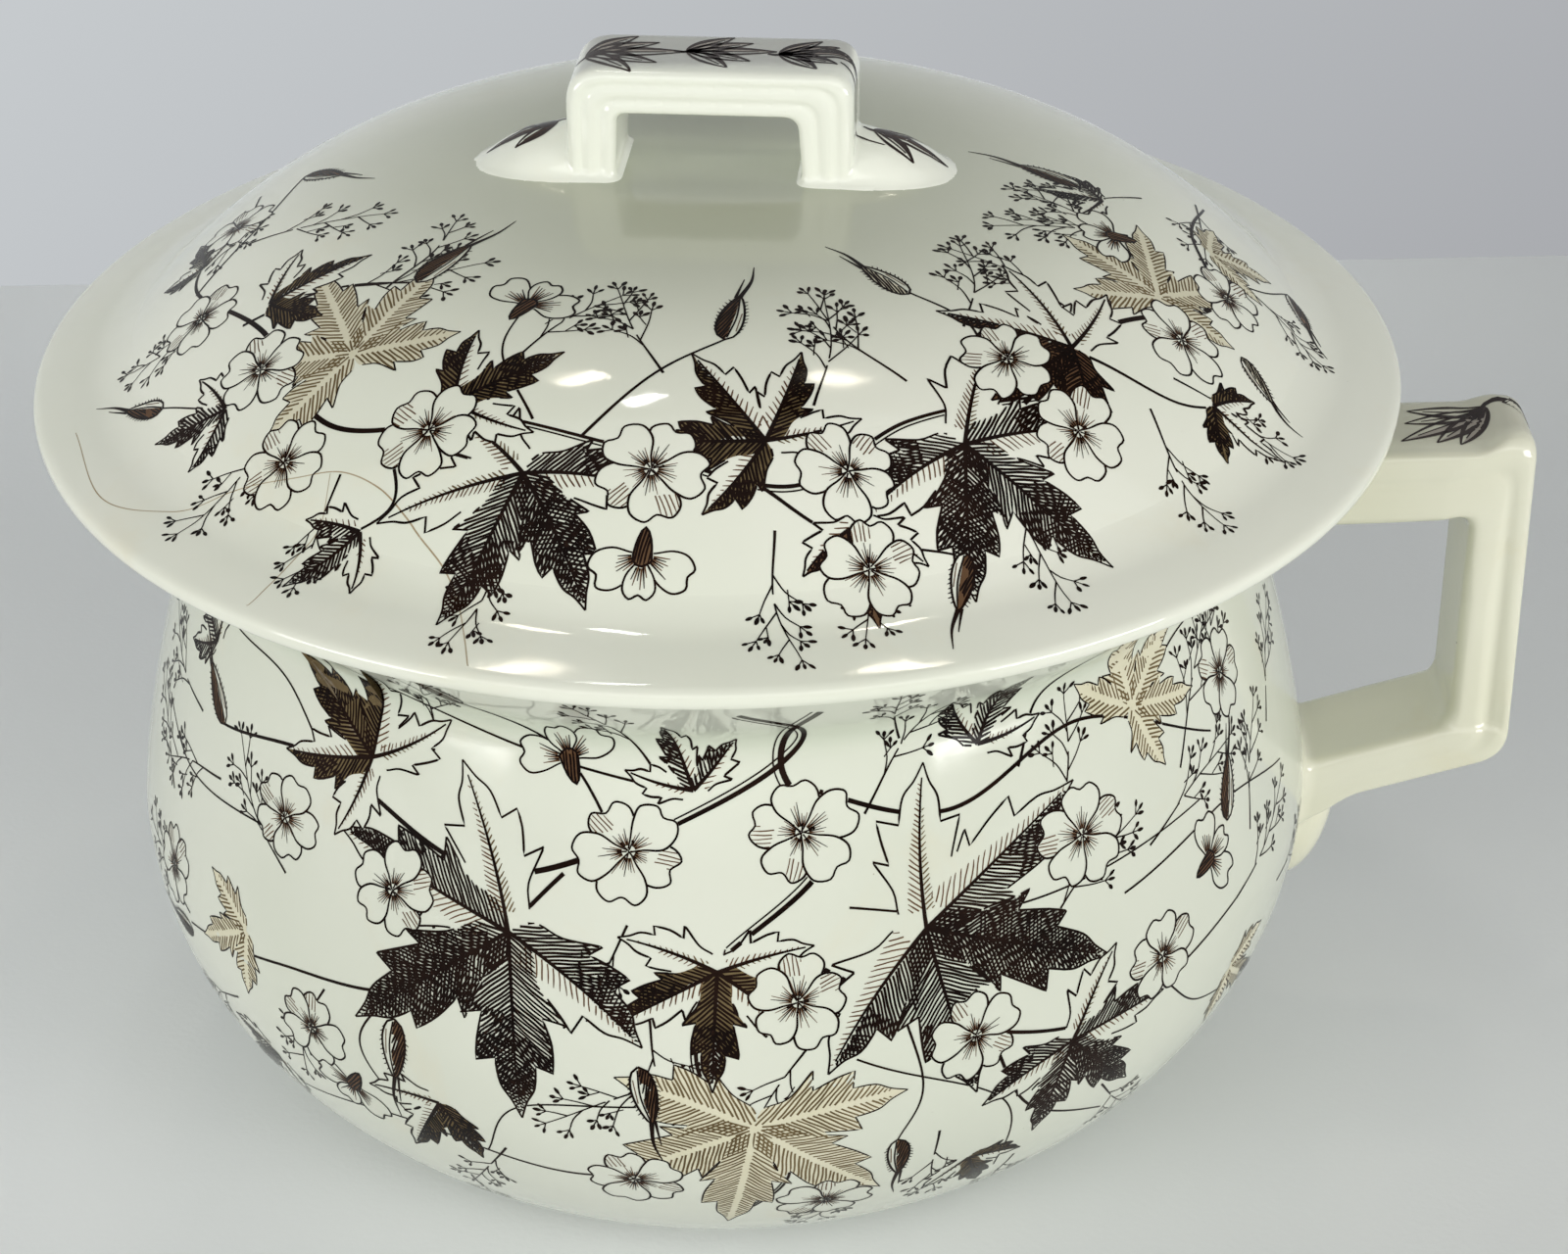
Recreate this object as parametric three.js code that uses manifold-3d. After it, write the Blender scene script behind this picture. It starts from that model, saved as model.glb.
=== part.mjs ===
import * as THREE from 'three';
import { mergeVertices } from 'three/addons/utils/BufferGeometryUtils.js';
import Module from 'manifold-3d';

// A lidded chamber pot of glazed earthenware: a round pot with a side handle,
// and a domed cover that lies loose in its mouth and has a bridge handle on top.
// Millimetres, +Z up. The pot stands on z = 0 and its side handle points along +X.

// Pot body
const POT_HEIGHT = 145.7;
const BODY_WALL = 4.5;
const BELLY_RADIUS = 113;
const BELLY_HEIGHT = 63.5;
const SHOULDER_POWER = 1.33;
const UNDERSIDE_POWER = 2.1;
const NECK_RADIUS = 98;
const NECK_DEPTH = 21;
const NECK_FILLET = 4;

// Rim of the pot
const RIM_RADIUS = 116;
const RIM_EDGE = 2;
const RIM_INNER_ROUND = 4;
const RIM_SEAT_WIDTH = 4;

// Foot of the pot
const FOOT_RADIUS = 71;
const FOOT_HEIGHT = 4;
const FOOT_COVE = 5;
const FOOT_RING_WIDTH = 7;
const FOOT_RECESS = 2.5;
const FLOOR_THICKNESS = 6;

// Cover
const COVER_OVERHANG = 9;
const COVER_WALL = 4.5;
const COVER_EDGE_THICKNESS = 5;
const COVER_EDGE_ROUND = 2.2;
const BRIM_WIDTH = 14;
const BRIM_HEIGHT = 7;
const BRIM_FILLET = 4.5;
const DOME_RISE = 33;
const DOME_POWER = 4.25;
const DOME_EASE = 1.18;
const FLANGE_DEPTH = 7;
const FLANGE_THICKNESS = 4;
const FLANGE_EDGE = 1;

// Side handle of the pot
const HANDLE_STANDOFF = 39;
const HANDLE_WIDTH = 22;
const HANDLE_TOP_DROP = 13.3;
const HANDLE_ROOT_DROP = 3;
const HANDLE_CREST = 4.3;
const HANDLE_CREST_LENGTH = 12;
const HANDLE_UPPER_THICKNESS = 14.5;
const HANDLE_GRIP_THICKNESS = 11.5;
const HANDLE_GRIP_HEIGHT = 67;
const HANDLE_LOWER_THICKNESS = 9.3;
const HANDLE_LOWER_SLOPE = 16.5;
const HANDLE_OUTER_ROUND = 6.5;
const HANDLE_INNER_ROUND = 4.5;
const TAIL_DROP = 6;
const TAIL_LENGTH = 15;
const TAIL_WIDTH = 23;
const TAIL_THICKNESS = 8.2;

// Bridge handle of the cover
const BRIDGE_LENGTH = 51;
const BRIDGE_WIDTH = 20;
const BRIDGE_CLEAR_HEIGHT = 12.3;
const BRIDGE_BAR_THICKNESS = 8.2;
const BRIDGE_LEG_TOP = 9.4;
const BRIDGE_LEG_FOOT = 8.4;
const BRIDGE_OUTER_ROUND = 6;
const BRIDGE_INNER_ROUND = 2.5;
const TERMINAL_LENGTH = 17.5;
const TERMINAL_WIDTH = 21;
const TERMINAL_THICKNESS = 5;

// Moulded section that both handles share
const HANDLE_EDGE_ROUND = 2.4;
const HANDLE_EDGE_EASE = 0.7;
const GROOVE_DEPTH = 0.8;
const GROOVE_WIDTH = 2;
const GROOVE_PLACES = [0.34, 0.66];

// Fits, and the turn of the cover in its seat
const SEAT_GAP = 0.3;
const LUTE_GAP = 0.3;
const FLANGE_CLEARANCE = 1.5;
const COVER_TURN = -5;

// How finely the round shapes are cut
const ROUND_SEGMENTS = 60;
const WALL_STEPS = 7;
const ROUND_STEPS = 3;
const PAD_SEGMENTS = 18;
const ROOT_DEPTH = 10;

const COVER_RADIUS = RIM_RADIUS + COVER_OVERHANG;
const HANDLE_REACH = BELLY_RADIUS + HANDLE_STANDOFF;
const NECK_HEIGHT = POT_HEIGHT - NECK_DEPTH;
const SEAT_HEIGHT = POT_HEIGHT + SEAT_GAP;
const COVER_CENTRE = BRIM_HEIGHT + DOME_RISE;

const manifold = await Module();
manifold.setup();

const point = (x, y) => new THREE.Vector2(x, y);
const mix = THREE.MathUtils.lerp;
const radians = THREE.MathUtils.degToRad;

function solidOf(geometry) {
  const bare = geometry.clone();
  bare.deleteAttribute('normal');
  bare.deleteAttribute('uv');
  const merged = mergeVertices(bare, 1e-4);
  return new manifold.Manifold(new manifold.Mesh({
    numProp: 3,
    vertProperties: new Float32Array(merged.attributes.position.array),
    triVerts: new Uint32Array(merged.index.array),
  }));
}

function geometryOf(solid) {
  const { numProp, vertProperties, triVerts } = solid.getMesh();
  const geometry = new THREE.BufferGeometry();
  const positions = new Float32Array(vertProperties.length / numProp * 3);
  for (let i = 0; i < positions.length / 3; i += 1) {
    positions.set(vertProperties.subarray(i * numProp, i * numProp + 3), i * 3);
  }
  geometry.setAttribute('position', new THREE.BufferAttribute(positions, 3));
  geometry.setIndex([...triVerts]);
  geometry.computeVertexNormals();
  return geometry;
}

// Turns an outline of (radius, height) points about the Z axis.
function turned(outline) {
  return new THREE.LatheGeometry(outline, ROUND_SEGMENTS).rotateX(Math.PI / 2);
}

// Moves an outline sideways by a distance, to the left of its direction.
function offsetOutline(outline, distance) {
  return outline.map((p, i) => {
    const before = outline[Math.max(i - 1, 0)];
    const after = outline[Math.min(i + 1, outline.length - 1)];
    const along = after.clone().sub(before).normalize();
    return point(p.x - along.y * distance, p.y + along.x * distance);
  });
}

// Radius of an outline at a height; the outline runs steadily up or down.
function radiusAt(outline, height) {
  for (let i = 1; i < outline.length; i += 1) {
    const [a, b] = [outline[i - 1], outline[i]];
    if ((a.y - height) * (b.y - height) <= 0 && a.y !== b.y) {
      return mix(a.x, b.x, (height - a.y) / (b.y - a.y));
    }
  }
  throw new Error(`no point of the outline is at height ${height}`);
}

// A curved wall between the belly and a narrower level above or below it.
function bellyWall(endRadius, endDistance, power, direction) {
  const shrink = (1 - (endRadius / BELLY_RADIUS) ** power) ** (1 / power);
  const reach = endDistance / shrink;
  const points = [];
  for (let i = 0; i <= WALL_STEPS; i += 1) {
    const away = endDistance * i / WALL_STEPS;
    const radius = BELLY_RADIUS * (1 - (away / reach) ** power) ** (1 / power);
    points.push(point(radius, BELLY_HEIGHT + direction * away));
  }
  return points;
}

function rounded(from, corner, to, steps = ROUND_STEPS) {
  return new THREE.QuadraticBezierCurve(from, corner, to).getPoints(steps);
}

// Outside of the pot, from the foot ring up to the outer edge of the rim.
function bodyOutside() {
  const under = bellyWall(FOOT_RADIUS + FOOT_COVE, BELLY_HEIGHT - FOOT_HEIGHT, UNDERSIDE_POWER, -1);
  const shoulder = bellyWall(NECK_RADIUS, NECK_HEIGHT - BELLY_HEIGHT, SHOULDER_POWER, 1);
  const belowNeck = shoulder.filter((p) => p.y < NECK_HEIGHT - NECK_FILLET);
  const flareTop = point(RIM_RADIUS, POT_HEIGHT - RIM_EDGE);
  const flareRise = NECK_FILLET / (flareTop.y - NECK_HEIGHT);
  const aboveNeck = point(mix(NECK_RADIUS, flareTop.x, flareRise), NECK_HEIGHT + NECK_FILLET);
  const neckStart = point(radiusAt(shoulder, NECK_HEIGHT - NECK_FILLET), NECK_HEIGHT - NECK_FILLET);
  return [
    ...under.reverse(),
    ...belowNeck.slice(1),
    ...rounded(neckStart, point(NECK_RADIUS, NECK_HEIGHT), aboveNeck),
    flareTop.clone().lerp(aboveNeck, 0.5),
    flareTop,
  ];
}

const OUTSIDE = bodyOutside();
const INSIDE = offsetOutline(OUTSIDE, BODY_WALL);

function potBody() {
  const footInner = FOOT_RADIUS - FOOT_RING_WIDTH;
  const floor = FOOT_RECESS + FLOOR_THICKNESS;
  const seatOuter = RIM_RADIUS - RIM_EDGE;
  const seatInner = seatOuter - RIM_SEAT_WIDTH;
  const lastInside = INSIDE.findLastIndex((p) => p.y < POT_HEIGHT - RIM_INNER_ROUND);
  const firstInside = INSIDE.findIndex((p) => p.y > floor + FLOOR_THICKNESS);
  const bowlStart = INSIDE[firstInside];
  const floorEdge = point(footInner, floor);
  return turned([
    point(0, FOOT_RECESS),
    point(footInner - FOOT_RECESS, FOOT_RECESS),
    point(footInner, 0),
    point(FOOT_RADIUS, 0),
    ...rounded(point(FOOT_RADIUS, FOOT_HEIGHT / 2), point(FOOT_RADIUS, FOOT_HEIGHT), OUTSIDE[0]),
    ...OUTSIDE.slice(1),
    ...rounded(OUTSIDE.at(-1), point(RIM_RADIUS, POT_HEIGHT), point(seatOuter, POT_HEIGHT)).slice(1),
    ...rounded(point(seatInner, POT_HEIGHT), point(seatInner - RIM_EDGE, POT_HEIGHT), INSIDE[lastInside]),
    ...INSIDE.slice(firstInside + 1, lastInside).reverse(),
    ...rounded(bowlStart, floorEdge, point(footInner / 2, floor)),
    point(0, floor),
  ]);
}

// How far the dome has fallen below its middle at a distance from the axis.
function domeFall(radius) {
  const share = radius / (COVER_RADIUS - BRIM_WIDTH);
  return DOME_RISE * (1 - (1 - share ** DOME_POWER) ** DOME_EASE);
}

// Top of the cover, from the inner end of the brim to the middle of the dome.
function domeOutside() {
  const foot = COVER_RADIUS - BRIM_WIDTH;
  const points = [];
  for (let i = 0; i <= WALL_STEPS * 2; i += 1) {
    const share = 1 - i / (WALL_STEPS * 2);
    const radius = (foot - BRIM_FILLET) * Math.sin(share * Math.PI / 2);
    points.push(point(radius, COVER_CENTRE - domeFall(radius)));
  }
  points.at(-1).x = 0;
  return points;
}

// Whole top of the cover, from the edge band to the middle of the dome.
function coverTop() {
  const foot = COVER_RADIUS - BRIM_WIDTH;
  const dome = domeOutside();
  const brimEnd = point(COVER_RADIUS - COVER_EDGE_ROUND, COVER_EDGE_THICKNESS);
  const brimStart = brimEnd.clone().lerp(point(foot, BRIM_HEIGHT), 1 - BRIM_FILLET / BRIM_WIDTH);
  return [
    brimEnd,
    ...rounded(brimStart, point(foot, BRIM_HEIGHT), dome[0]),
    ...dome.slice(1),
  ];
}

function cover() {
  const edge = COVER_RADIUS;
  const edgeMiddle = COVER_EDGE_THICKNESS / 2;
  const flangeOuter = radiusAt(INSIDE, POT_HEIGHT - FLANGE_DEPTH) - FLANGE_CLEARANCE;
  const flangeInner = flangeOuter - FLANGE_THICKNESS;
  const under = offsetOutline(domeOutside(), COVER_WALL).reverse();
  under[0].x = 0;
  const hollow = under.filter((p) => p.x < flangeInner - FLANGE_EDGE);
  const hollowEnd = hollow.at(-1);
  const flangeRoot = point(flangeInner, hollowEnd.y - FLANGE_EDGE);
  return turned([
    ...hollow,
    ...rounded(hollowEnd, flangeRoot, point(flangeInner, BRIM_HEIGHT)).slice(1),
    point(flangeInner, -FLANGE_DEPTH + FLANGE_EDGE),
    point(flangeInner + FLANGE_EDGE, -FLANGE_DEPTH),
    point(flangeOuter - FLANGE_EDGE, -FLANGE_DEPTH),
    point(flangeOuter, -FLANGE_DEPTH + FLANGE_EDGE),
    point(flangeOuter, 0),
    ...rounded(point(edge - COVER_EDGE_ROUND, 0), point(edge, 0), point(edge, edgeMiddle)),
    ...rounded(point(edge, edgeMiddle), point(edge, COVER_EDGE_THICKNESS), coverTop()[0]).slice(1),
    ...coverTop().slice(1),
  ]);
}

// Follows straight runs between corners, each corner cut by its own radius.
function roundedRoute(corners) {
  const route = [];
  corners.forEach(({ at, round = 0 }, i) => {
    if (round === 0) {
      route.push(at);
      return;
    }
    const back = corners[i - 1].at.clone().sub(at).setLength(round).add(at);
    const on = corners[i + 1].at.clone().sub(at).setLength(round).add(at);
    route.push(...rounded(back, at, on, ROUND_STEPS + 1));
  });
  return route;
}

// Half of the moulded section, from the inner face round one grooved side to
// the outer face: [share of the thickness, share of the half width].
function sectionSide(thickness, halfWidth) {
  const ease = HANDLE_EDGE_EASE / thickness;
  const shoulder = 1 - HANDLE_EDGE_ROUND / halfWidth;
  const side = 1 - HANDLE_EDGE_EASE / halfWidth;
  const groove = GROOVE_PLACES.flatMap((place) => [
    [place - GROOVE_WIDTH / 2 / thickness, 1],
    [place, 1 - GROOVE_DEPTH / halfWidth],
    [place + GROOVE_WIDTH / 2 / thickness, 1],
  ]);
  return [
    [0, shoulder],
    [ease, side],
    ...groove,
    [1 - ease, side],
    [1, shoulder],
  ];
}

// A moulded strap between an inner and an outer route in the XZ plane.
function strap(innerCorners, outerCorners, width) {
  const inner = roundedRoute(innerCorners);
  const outer = roundedRoute(outerCorners);
  const positions = [];
  const faces = [];
  const rings = inner.map((low, i) => {
    const high = outer[i];
    const side = sectionSide(low.distanceTo(high), width / 2);
    const right = side.map(([depth, across]) => [depth, across * width / 2]);
    const left = side.map(([depth, across]) => [depth, -across * width / 2]).reverse();
    return [...right, ...left].map(([depth, y]) => {
      const place = low.clone().lerp(high, depth);
      return [place.x, y, place.y];
    });
  });
  const around = rings[0].length;
  rings.forEach((ring) => ring.forEach((p) => positions.push(...p)));
  for (let i = 0; i + 1 < rings.length; i += 1) {
    for (let j = 0; j < around; j += 1) {
      const next = (j + 1) % around;
      const [here, beyond] = [i * around, (i + 1) * around];
      faces.push(here + j, here + next, beyond + j, here + next, beyond + next, beyond + j);
    }
  }
  const last = (rings.length - 1) * around;
  for (let a = 0; a + 1 < around / 2; a += 1) {
    const b = a + 1;
    const [acrossA, acrossB] = [around - 1 - a, around - 1 - b];
    faces.push(a, acrossB, b, a, acrossA, acrossB);
    faces.push(last + a, last + b, last + acrossB, last + a, last + acrossB, last + acrossA);
  }
  const geometry = new THREE.BufferGeometry();
  geometry.setAttribute('position', new THREE.Float32BufferAttribute(positions, 3));
  geometry.setIndex(faces);
  return geometry;
}

// A flat egg-shaped pad that spreads a handle's end over the clay below it.
function pad(length, width, thickness, place, tilt) {
  return new THREE.SphereGeometry(1, PAD_SEGMENTS, PAD_SEGMENTS / 2)
    .scale(length, width / 2, thickness)
    .rotateY(tilt)
    .translate(place.x, 0, place.y);
}

function potHandle() {
  const reach = HANDLE_REACH;
  const root = NECK_RADIUS - ROOT_DEPTH;
  const gripInner = reach - HANDLE_GRIP_THICKNESS;
  const top = POT_HEIGHT - HANDLE_TOP_DROP;
  const bottom = top - HANDLE_GRIP_HEIGHT;
  const slope = Math.tan(radians(HANDLE_LOWER_SLOPE));
  const lowerDrop = HANDLE_LOWER_THICKNESS / Math.cos(radians(HANDLE_LOWER_SLOPE));
  const lowerEnd = BELLY_RADIUS - ROOT_DEPTH;
  const under = (x) => bottom - (reach - x) * slope;
  const upperUnder = top - HANDLE_UPPER_THICKNESS;
  const outer = [
    { at: point(root, top - HANDLE_ROOT_DROP) },
    { at: point(reach - HANDLE_CREST_LENGTH, top - HANDLE_ROOT_DROP / 2) },
    { at: point(reach, top + HANDLE_CREST), round: HANDLE_OUTER_ROUND },
    { at: point(reach, mix(top, bottom, 0.5)) },
    { at: point(reach, bottom), round: HANDLE_OUTER_ROUND },
    { at: point(lowerEnd, under(lowerEnd)) },
  ];
  const inner = [
    { at: point(root, upperUnder - HANDLE_ROOT_DROP) },
    { at: point(gripInner - HANDLE_CREST_LENGTH / 2, upperUnder - HANDLE_ROOT_DROP / 2) },
    { at: point(gripInner, upperUnder), round: HANDLE_INNER_ROUND },
    { at: point(gripInner, mix(top, bottom, 0.5)) },
    { at: point(gripInner, under(gripInner) + lowerDrop), round: HANDLE_INNER_ROUND },
    { at: point(lowerEnd, under(lowerEnd) + lowerDrop) },
  ];
  const tailZ = under(BELLY_RADIUS) - TAIL_DROP;
  const seat = point(radiusAt(OUTSIDE, tailZ), tailZ);
  const belowZ = tailZ - TAIL_LENGTH / 2;
  const below = point(radiusAt(OUTSIDE, belowZ), belowZ);
  const lean = Math.atan2(seat.x - below.x, seat.y - below.y);
  const tail = pad(TAIL_LENGTH, TAIL_WIDTH, TAIL_THICKNESS, seat, Math.PI / 2 + lean);
  const body = offsetOutline(OUTSIDE, -LUTE_GAP);
  const core = turned([point(0, body[0].y), ...body, point(0, body.at(-1).y)]);
  const grip = solidOf(strap(inner, outer, HANDLE_WIDTH));
  return geometryOf(grip.add(solidOf(tail)).subtract(solidOf(core)));
}

function coverHandle() {
  const half = BRIDGE_LENGTH / 2;
  const barUnder = COVER_CENTRE + BRIDGE_CLEAR_HEIGHT;
  const barTop = barUnder + BRIDGE_BAR_THICKNESS;
  const bottom = COVER_CENTRE - ROOT_DEPTH;
  const legTop = half - BRIDGE_LEG_TOP;
  const legFoot = half - BRIDGE_LEG_FOOT;
  const outer = [
    { at: point(-half, bottom) },
    { at: point(-half, barTop), round: BRIDGE_OUTER_ROUND },
    { at: point(half, barTop), round: BRIDGE_OUTER_ROUND },
    { at: point(half, bottom) },
  ];
  const inner = [
    { at: point(-legFoot, bottom) },
    { at: point(-legTop, barUnder), round: BRIDGE_INNER_ROUND },
    { at: point(legTop, barUnder), round: BRIDGE_INNER_ROUND },
    { at: point(legFoot, bottom) },
  ];
  const top = coverTop();
  const raised = top.map((p) => point(p.x, p.y + LUTE_GAP));
  const core = turned([point(0, 0), point(raised[0].x, 0), ...raised]);
  const window = new THREE.BoxGeometry(legFoot * 2, TERMINAL_WIDTH * 2, COVER_CENTRE * 2);
  const spread = [1, -1].map((side) => {
    const tip = half + TERMINAL_LENGTH;
    const lean = Math.atan2(domeFall(tip) - domeFall(half), TERMINAL_LENGTH);
    const place = point(side * half, COVER_CENTRE - domeFall(half));
    const whole = solidOf(pad(TERMINAL_LENGTH, TERMINAL_WIDTH, TERMINAL_THICKNESS, place, side * lean));
    return whole.subtract(solidOf(window.clone().translate(0, 0, COVER_CENTRE)));
  });
  const bridge = solidOf(strap(inner, outer, BRIDGE_WIDTH));
  return geometryOf(bridge.add(spread[0]).add(spread[1]).subtract(solidOf(core)));
}

function glazed(color, roughness) {
  return new THREE.MeshStandardMaterial({ color, roughness, metalness: 0 });
}

function piece(name, geometry, material) {
  const mesh = new THREE.Mesh(geometry, material);
  mesh.name = name;
  return mesh;
}

const lid = new THREE.Group();
lid.add(piece('cover', cover(), glazed(0xc8ccbb, 0.15)));
lid.add(piece('cover_handle', coverHandle(), glazed(0xe6e8d8, 0.2)));
lid.position.z = SEAT_HEIGHT;
lid.rotation.z = radians(COVER_TURN);

const pot = new THREE.Group();
pot.add(piece('pot_body', potBody(), glazed(0xd0d3c4, 0.15)));
pot.add(piece('pot_handle', potHandle(), glazed(0xcfd1bd, 0.18)));

// The frame's origin is the middle of the footprint, so the pot's axis stands
// to one side of it by half of what the side handle reaches past the cover.
const chamberPot = new THREE.Group();
chamberPot.add(pot, lid);
chamberPot.position.x = (COVER_RADIUS - HANDLE_REACH) / 2;

export default chamberPot;
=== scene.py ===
import math
import random

import bpy
import numpy as np
from mathutils import Matrix, Vector, geometry
from mathutils.bvhtree import BVHTree


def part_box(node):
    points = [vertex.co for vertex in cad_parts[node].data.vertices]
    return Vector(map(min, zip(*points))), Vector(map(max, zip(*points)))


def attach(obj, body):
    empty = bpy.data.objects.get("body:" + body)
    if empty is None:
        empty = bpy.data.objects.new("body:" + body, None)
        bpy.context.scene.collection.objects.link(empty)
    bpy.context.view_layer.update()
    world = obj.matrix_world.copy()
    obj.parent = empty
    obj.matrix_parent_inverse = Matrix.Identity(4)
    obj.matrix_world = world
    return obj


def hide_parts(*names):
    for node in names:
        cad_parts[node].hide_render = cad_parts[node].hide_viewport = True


# The looks of a lidded chamber pot of glazed earthenware with a brown print.
# Sizes are in millimetres from the pot's axis and the floor, and become metres where
# a mesh is made. Up is +Z, the side handle points along +X, and the camera looks along +Y.

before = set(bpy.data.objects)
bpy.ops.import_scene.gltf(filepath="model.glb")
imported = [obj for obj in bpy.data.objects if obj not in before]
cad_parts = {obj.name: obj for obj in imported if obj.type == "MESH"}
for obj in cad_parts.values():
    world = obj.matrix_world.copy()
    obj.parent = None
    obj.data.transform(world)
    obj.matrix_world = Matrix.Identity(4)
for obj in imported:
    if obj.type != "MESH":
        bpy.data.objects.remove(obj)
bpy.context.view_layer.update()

MM = 0.001
pot_low, pot_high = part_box("pot_body")
AXIS_X = (pot_low.x + pot_high.x) / 2 / MM
POT_HEIGHT = pot_high.z / MM
SEAT_HEIGHT = POT_HEIGHT + 0.3
COVER_TURN = math.radians(-5)

# Pot body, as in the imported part
BODY_WALL = 4.5
BELLY_RADIUS = 113
BELLY_HEIGHT = 63.5
SHOULDER_POWER = 1.33
UNDERSIDE_POWER = 2.1
NECK_RADIUS = 98
NECK_HEIGHT = POT_HEIGHT - 21
NECK_FILLET = 4
RIM_RADIUS = 116
RIM_EDGE = 2
RIM_SEAT_WIDTH = 4
FOOT_RADIUS = 71
FOOT_HEIGHT = 4
FOOT_COVE = 5
FOOT_RING_WIDTH = 7
FOOT_RECESS = 2.5
FLOOR_THICKNESS = 6

# Cover, measured up from its seat on the rim
COVER_RADIUS = 124.9
COVER_WALL = 4.5
EDGE_THICKNESS = 5
EDGE_INSET = 2.2
BRIM_ROLL = (119.2, 5.5)
BRIM_FOOT = 111
BRIM_HEIGHT = 7
BRIM_FILLET = 4.5
DOME_RISE = 33
DOME_POWER = 4.25
DOME_EASE = 1.18
FLANGE_PLAY = 1.5
FLANGE_THICKNESS = 4
FLANGE_DEPTH = 7

# Side handle
HANDLE_REACH = 151.9
HANDLE_TOP = POT_HEIGHT - 13.3
HANDLE_BOTTOM = HANDLE_TOP - 67.6
GRIP_INNER = HANDLE_REACH - 11.5
LOWER_ANGLE = math.radians(16.5)
LOWER_SLOPE = math.tan(LOWER_ANGLE)
LOWER_RISE = 9.9 / math.cos(LOWER_ANGLE)

# Leaf-shaped ends of the cover's handle
LEAF_START = 18.2
LEAF_WIDEST = 25.5
LEAF_TIP = 42.6
LEAF_HALF_WIDTH = 10.2
LEAF_SUNK = 4

# How far the two handles' skins reach into the clay, and the steps that they are made in
SKIN_SUNK = 1.5
SIDE_HANDLE_STEP = 0.5
BRIDGE_STEP = 0.42

# The glaze's roughness, least and most, and its refraction, the ink's shine, and the stage's paper
GLOSS = (0.05, 0.12)
GLAZE_IOR = 1.5
INK_SHINE = 0.08
PAPER_ROUGHNESS = 0.85
PAPER_SHINE = 0.1

# Widths along the outlines of the print, and a lobe's width as a share of its leaf's size
LEAF_LINE = [0.34, 0.46, 0.34]
PALE_LINE = [0.24, 0.32, 0.24]
PETAL_LINE = [0.28, 0.42, 0.34, 0.42, 0.28]
LOBE_WIDTH = 0.14

ROUND = 288
TINY = 1e-9


def bend(a, b, c, steps):
    """Points of a quadratic curve from a to c with its corner at b."""
    t = np.linspace(0, 1, steps + 1)[:, None]
    a, b, c = (np.array(p, float) for p in (a, b, c))
    return (1 - t) ** 2 * a + 2 * t * (1 - t) * b + t ** 2 * c


def headings(line):
    """Unit directions along a line of points."""
    along = np.gradient(line, axis=0)
    return along / np.maximum(np.linalg.norm(along, axis=1), TINY)[:, None]


def left_of(along):
    """Directions a quarter turn to the left of others."""
    return np.stack([-along[:, 1], along[:, 0]], 1)


def run_of(line):
    """Length of a line up to each of its points."""
    return np.concatenate([[0], np.cumsum(np.linalg.norm(np.diff(line, axis=0), axis=1))])


def wall(end_radius, end_distance, power, direction, steps):
    """A curve of the belly, from its widest ring up or down to a smaller one."""
    shrink = (1 - (end_radius / BELLY_RADIUS) ** power) ** (1 / power)
    away = np.linspace(0, end_distance, steps + 1)
    radius = BELLY_RADIUS * (1 - (away * shrink / end_distance) ** power) ** (1 / power)
    return np.stack([radius, BELLY_HEIGHT + direction * away], 1)


def offset(outline, distance):
    return outline + left_of(headings(outline)) * distance


def joined(*parts):
    """Rows of points as one outline, without repeated points."""
    points = np.concatenate([np.array(p, float).reshape(-1, 2) for p in parts])
    keep = np.ones(len(points), bool)
    keep[1:] = np.linalg.norm(np.diff(points, axis=0), axis=1) > 1e-6
    return points[keep]


def body_outside():
    """The outside of the pot's wall from the foot to the rim."""
    under = wall(FOOT_RADIUS + FOOT_COVE, BELLY_HEIGHT - FOOT_HEIGHT, UNDERSIDE_POWER, -1, 60)[::-1]
    shoulder = wall(NECK_RADIUS, NECK_HEIGHT - BELLY_HEIGHT, SHOULDER_POWER, 1, 60)
    start = shoulder[shoulder[:, 1] < NECK_HEIGHT - NECK_FILLET]
    flare_top = np.array([RIM_RADIUS, POT_HEIGHT - RIM_EDGE])
    neck = np.array([NECK_RADIUS, NECK_HEIGHT])
    above = neck + (flare_top - neck) * NECK_FILLET / (flare_top[1] - NECK_HEIGHT)
    flare = np.linspace(above, flare_top, 16)
    return joined(under, start[1:], bend(start[-1], neck, above, 14)[1:], flare[1:])


def dome_height(radius):
    return BRIM_HEIGHT + DOME_RISE * (1 - (radius / BRIM_FOOT) ** DOME_POWER) ** DOME_EASE


def cover_top():
    """Top of the cover from the edge band to the middle of the dome."""
    radius = (BRIM_FOOT - BRIM_FILLET) * np.sin(np.linspace(1, 0, 90) * math.pi / 2)
    dome = np.stack([radius, dome_height(radius)], 1)
    dome[-1, 0] = 0
    edge = np.array([COVER_RADIUS - EDGE_INSET, EDGE_THICKNESS - 0.7])
    foot = np.array([BRIM_FOOT, BRIM_HEIGHT + 0.5])
    roll = np.array(BRIM_ROLL)
    brim = foot + (roll - foot) * 0.45
    flat = roll + (brim - roll) * 0.7
    return joined(bend(edge, roll, flat, 10), brim, bend(brim, foot, dome[0], 14)[1:], dome[1:])


OUTSIDE = body_outside()
INSIDE = offset(OUTSIDE, BODY_WALL)
COVER_TOP = cover_top()
POT_RUN = run_of(OUTSIDE)
COVER_RUN = run_of(COVER_TOP)


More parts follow.
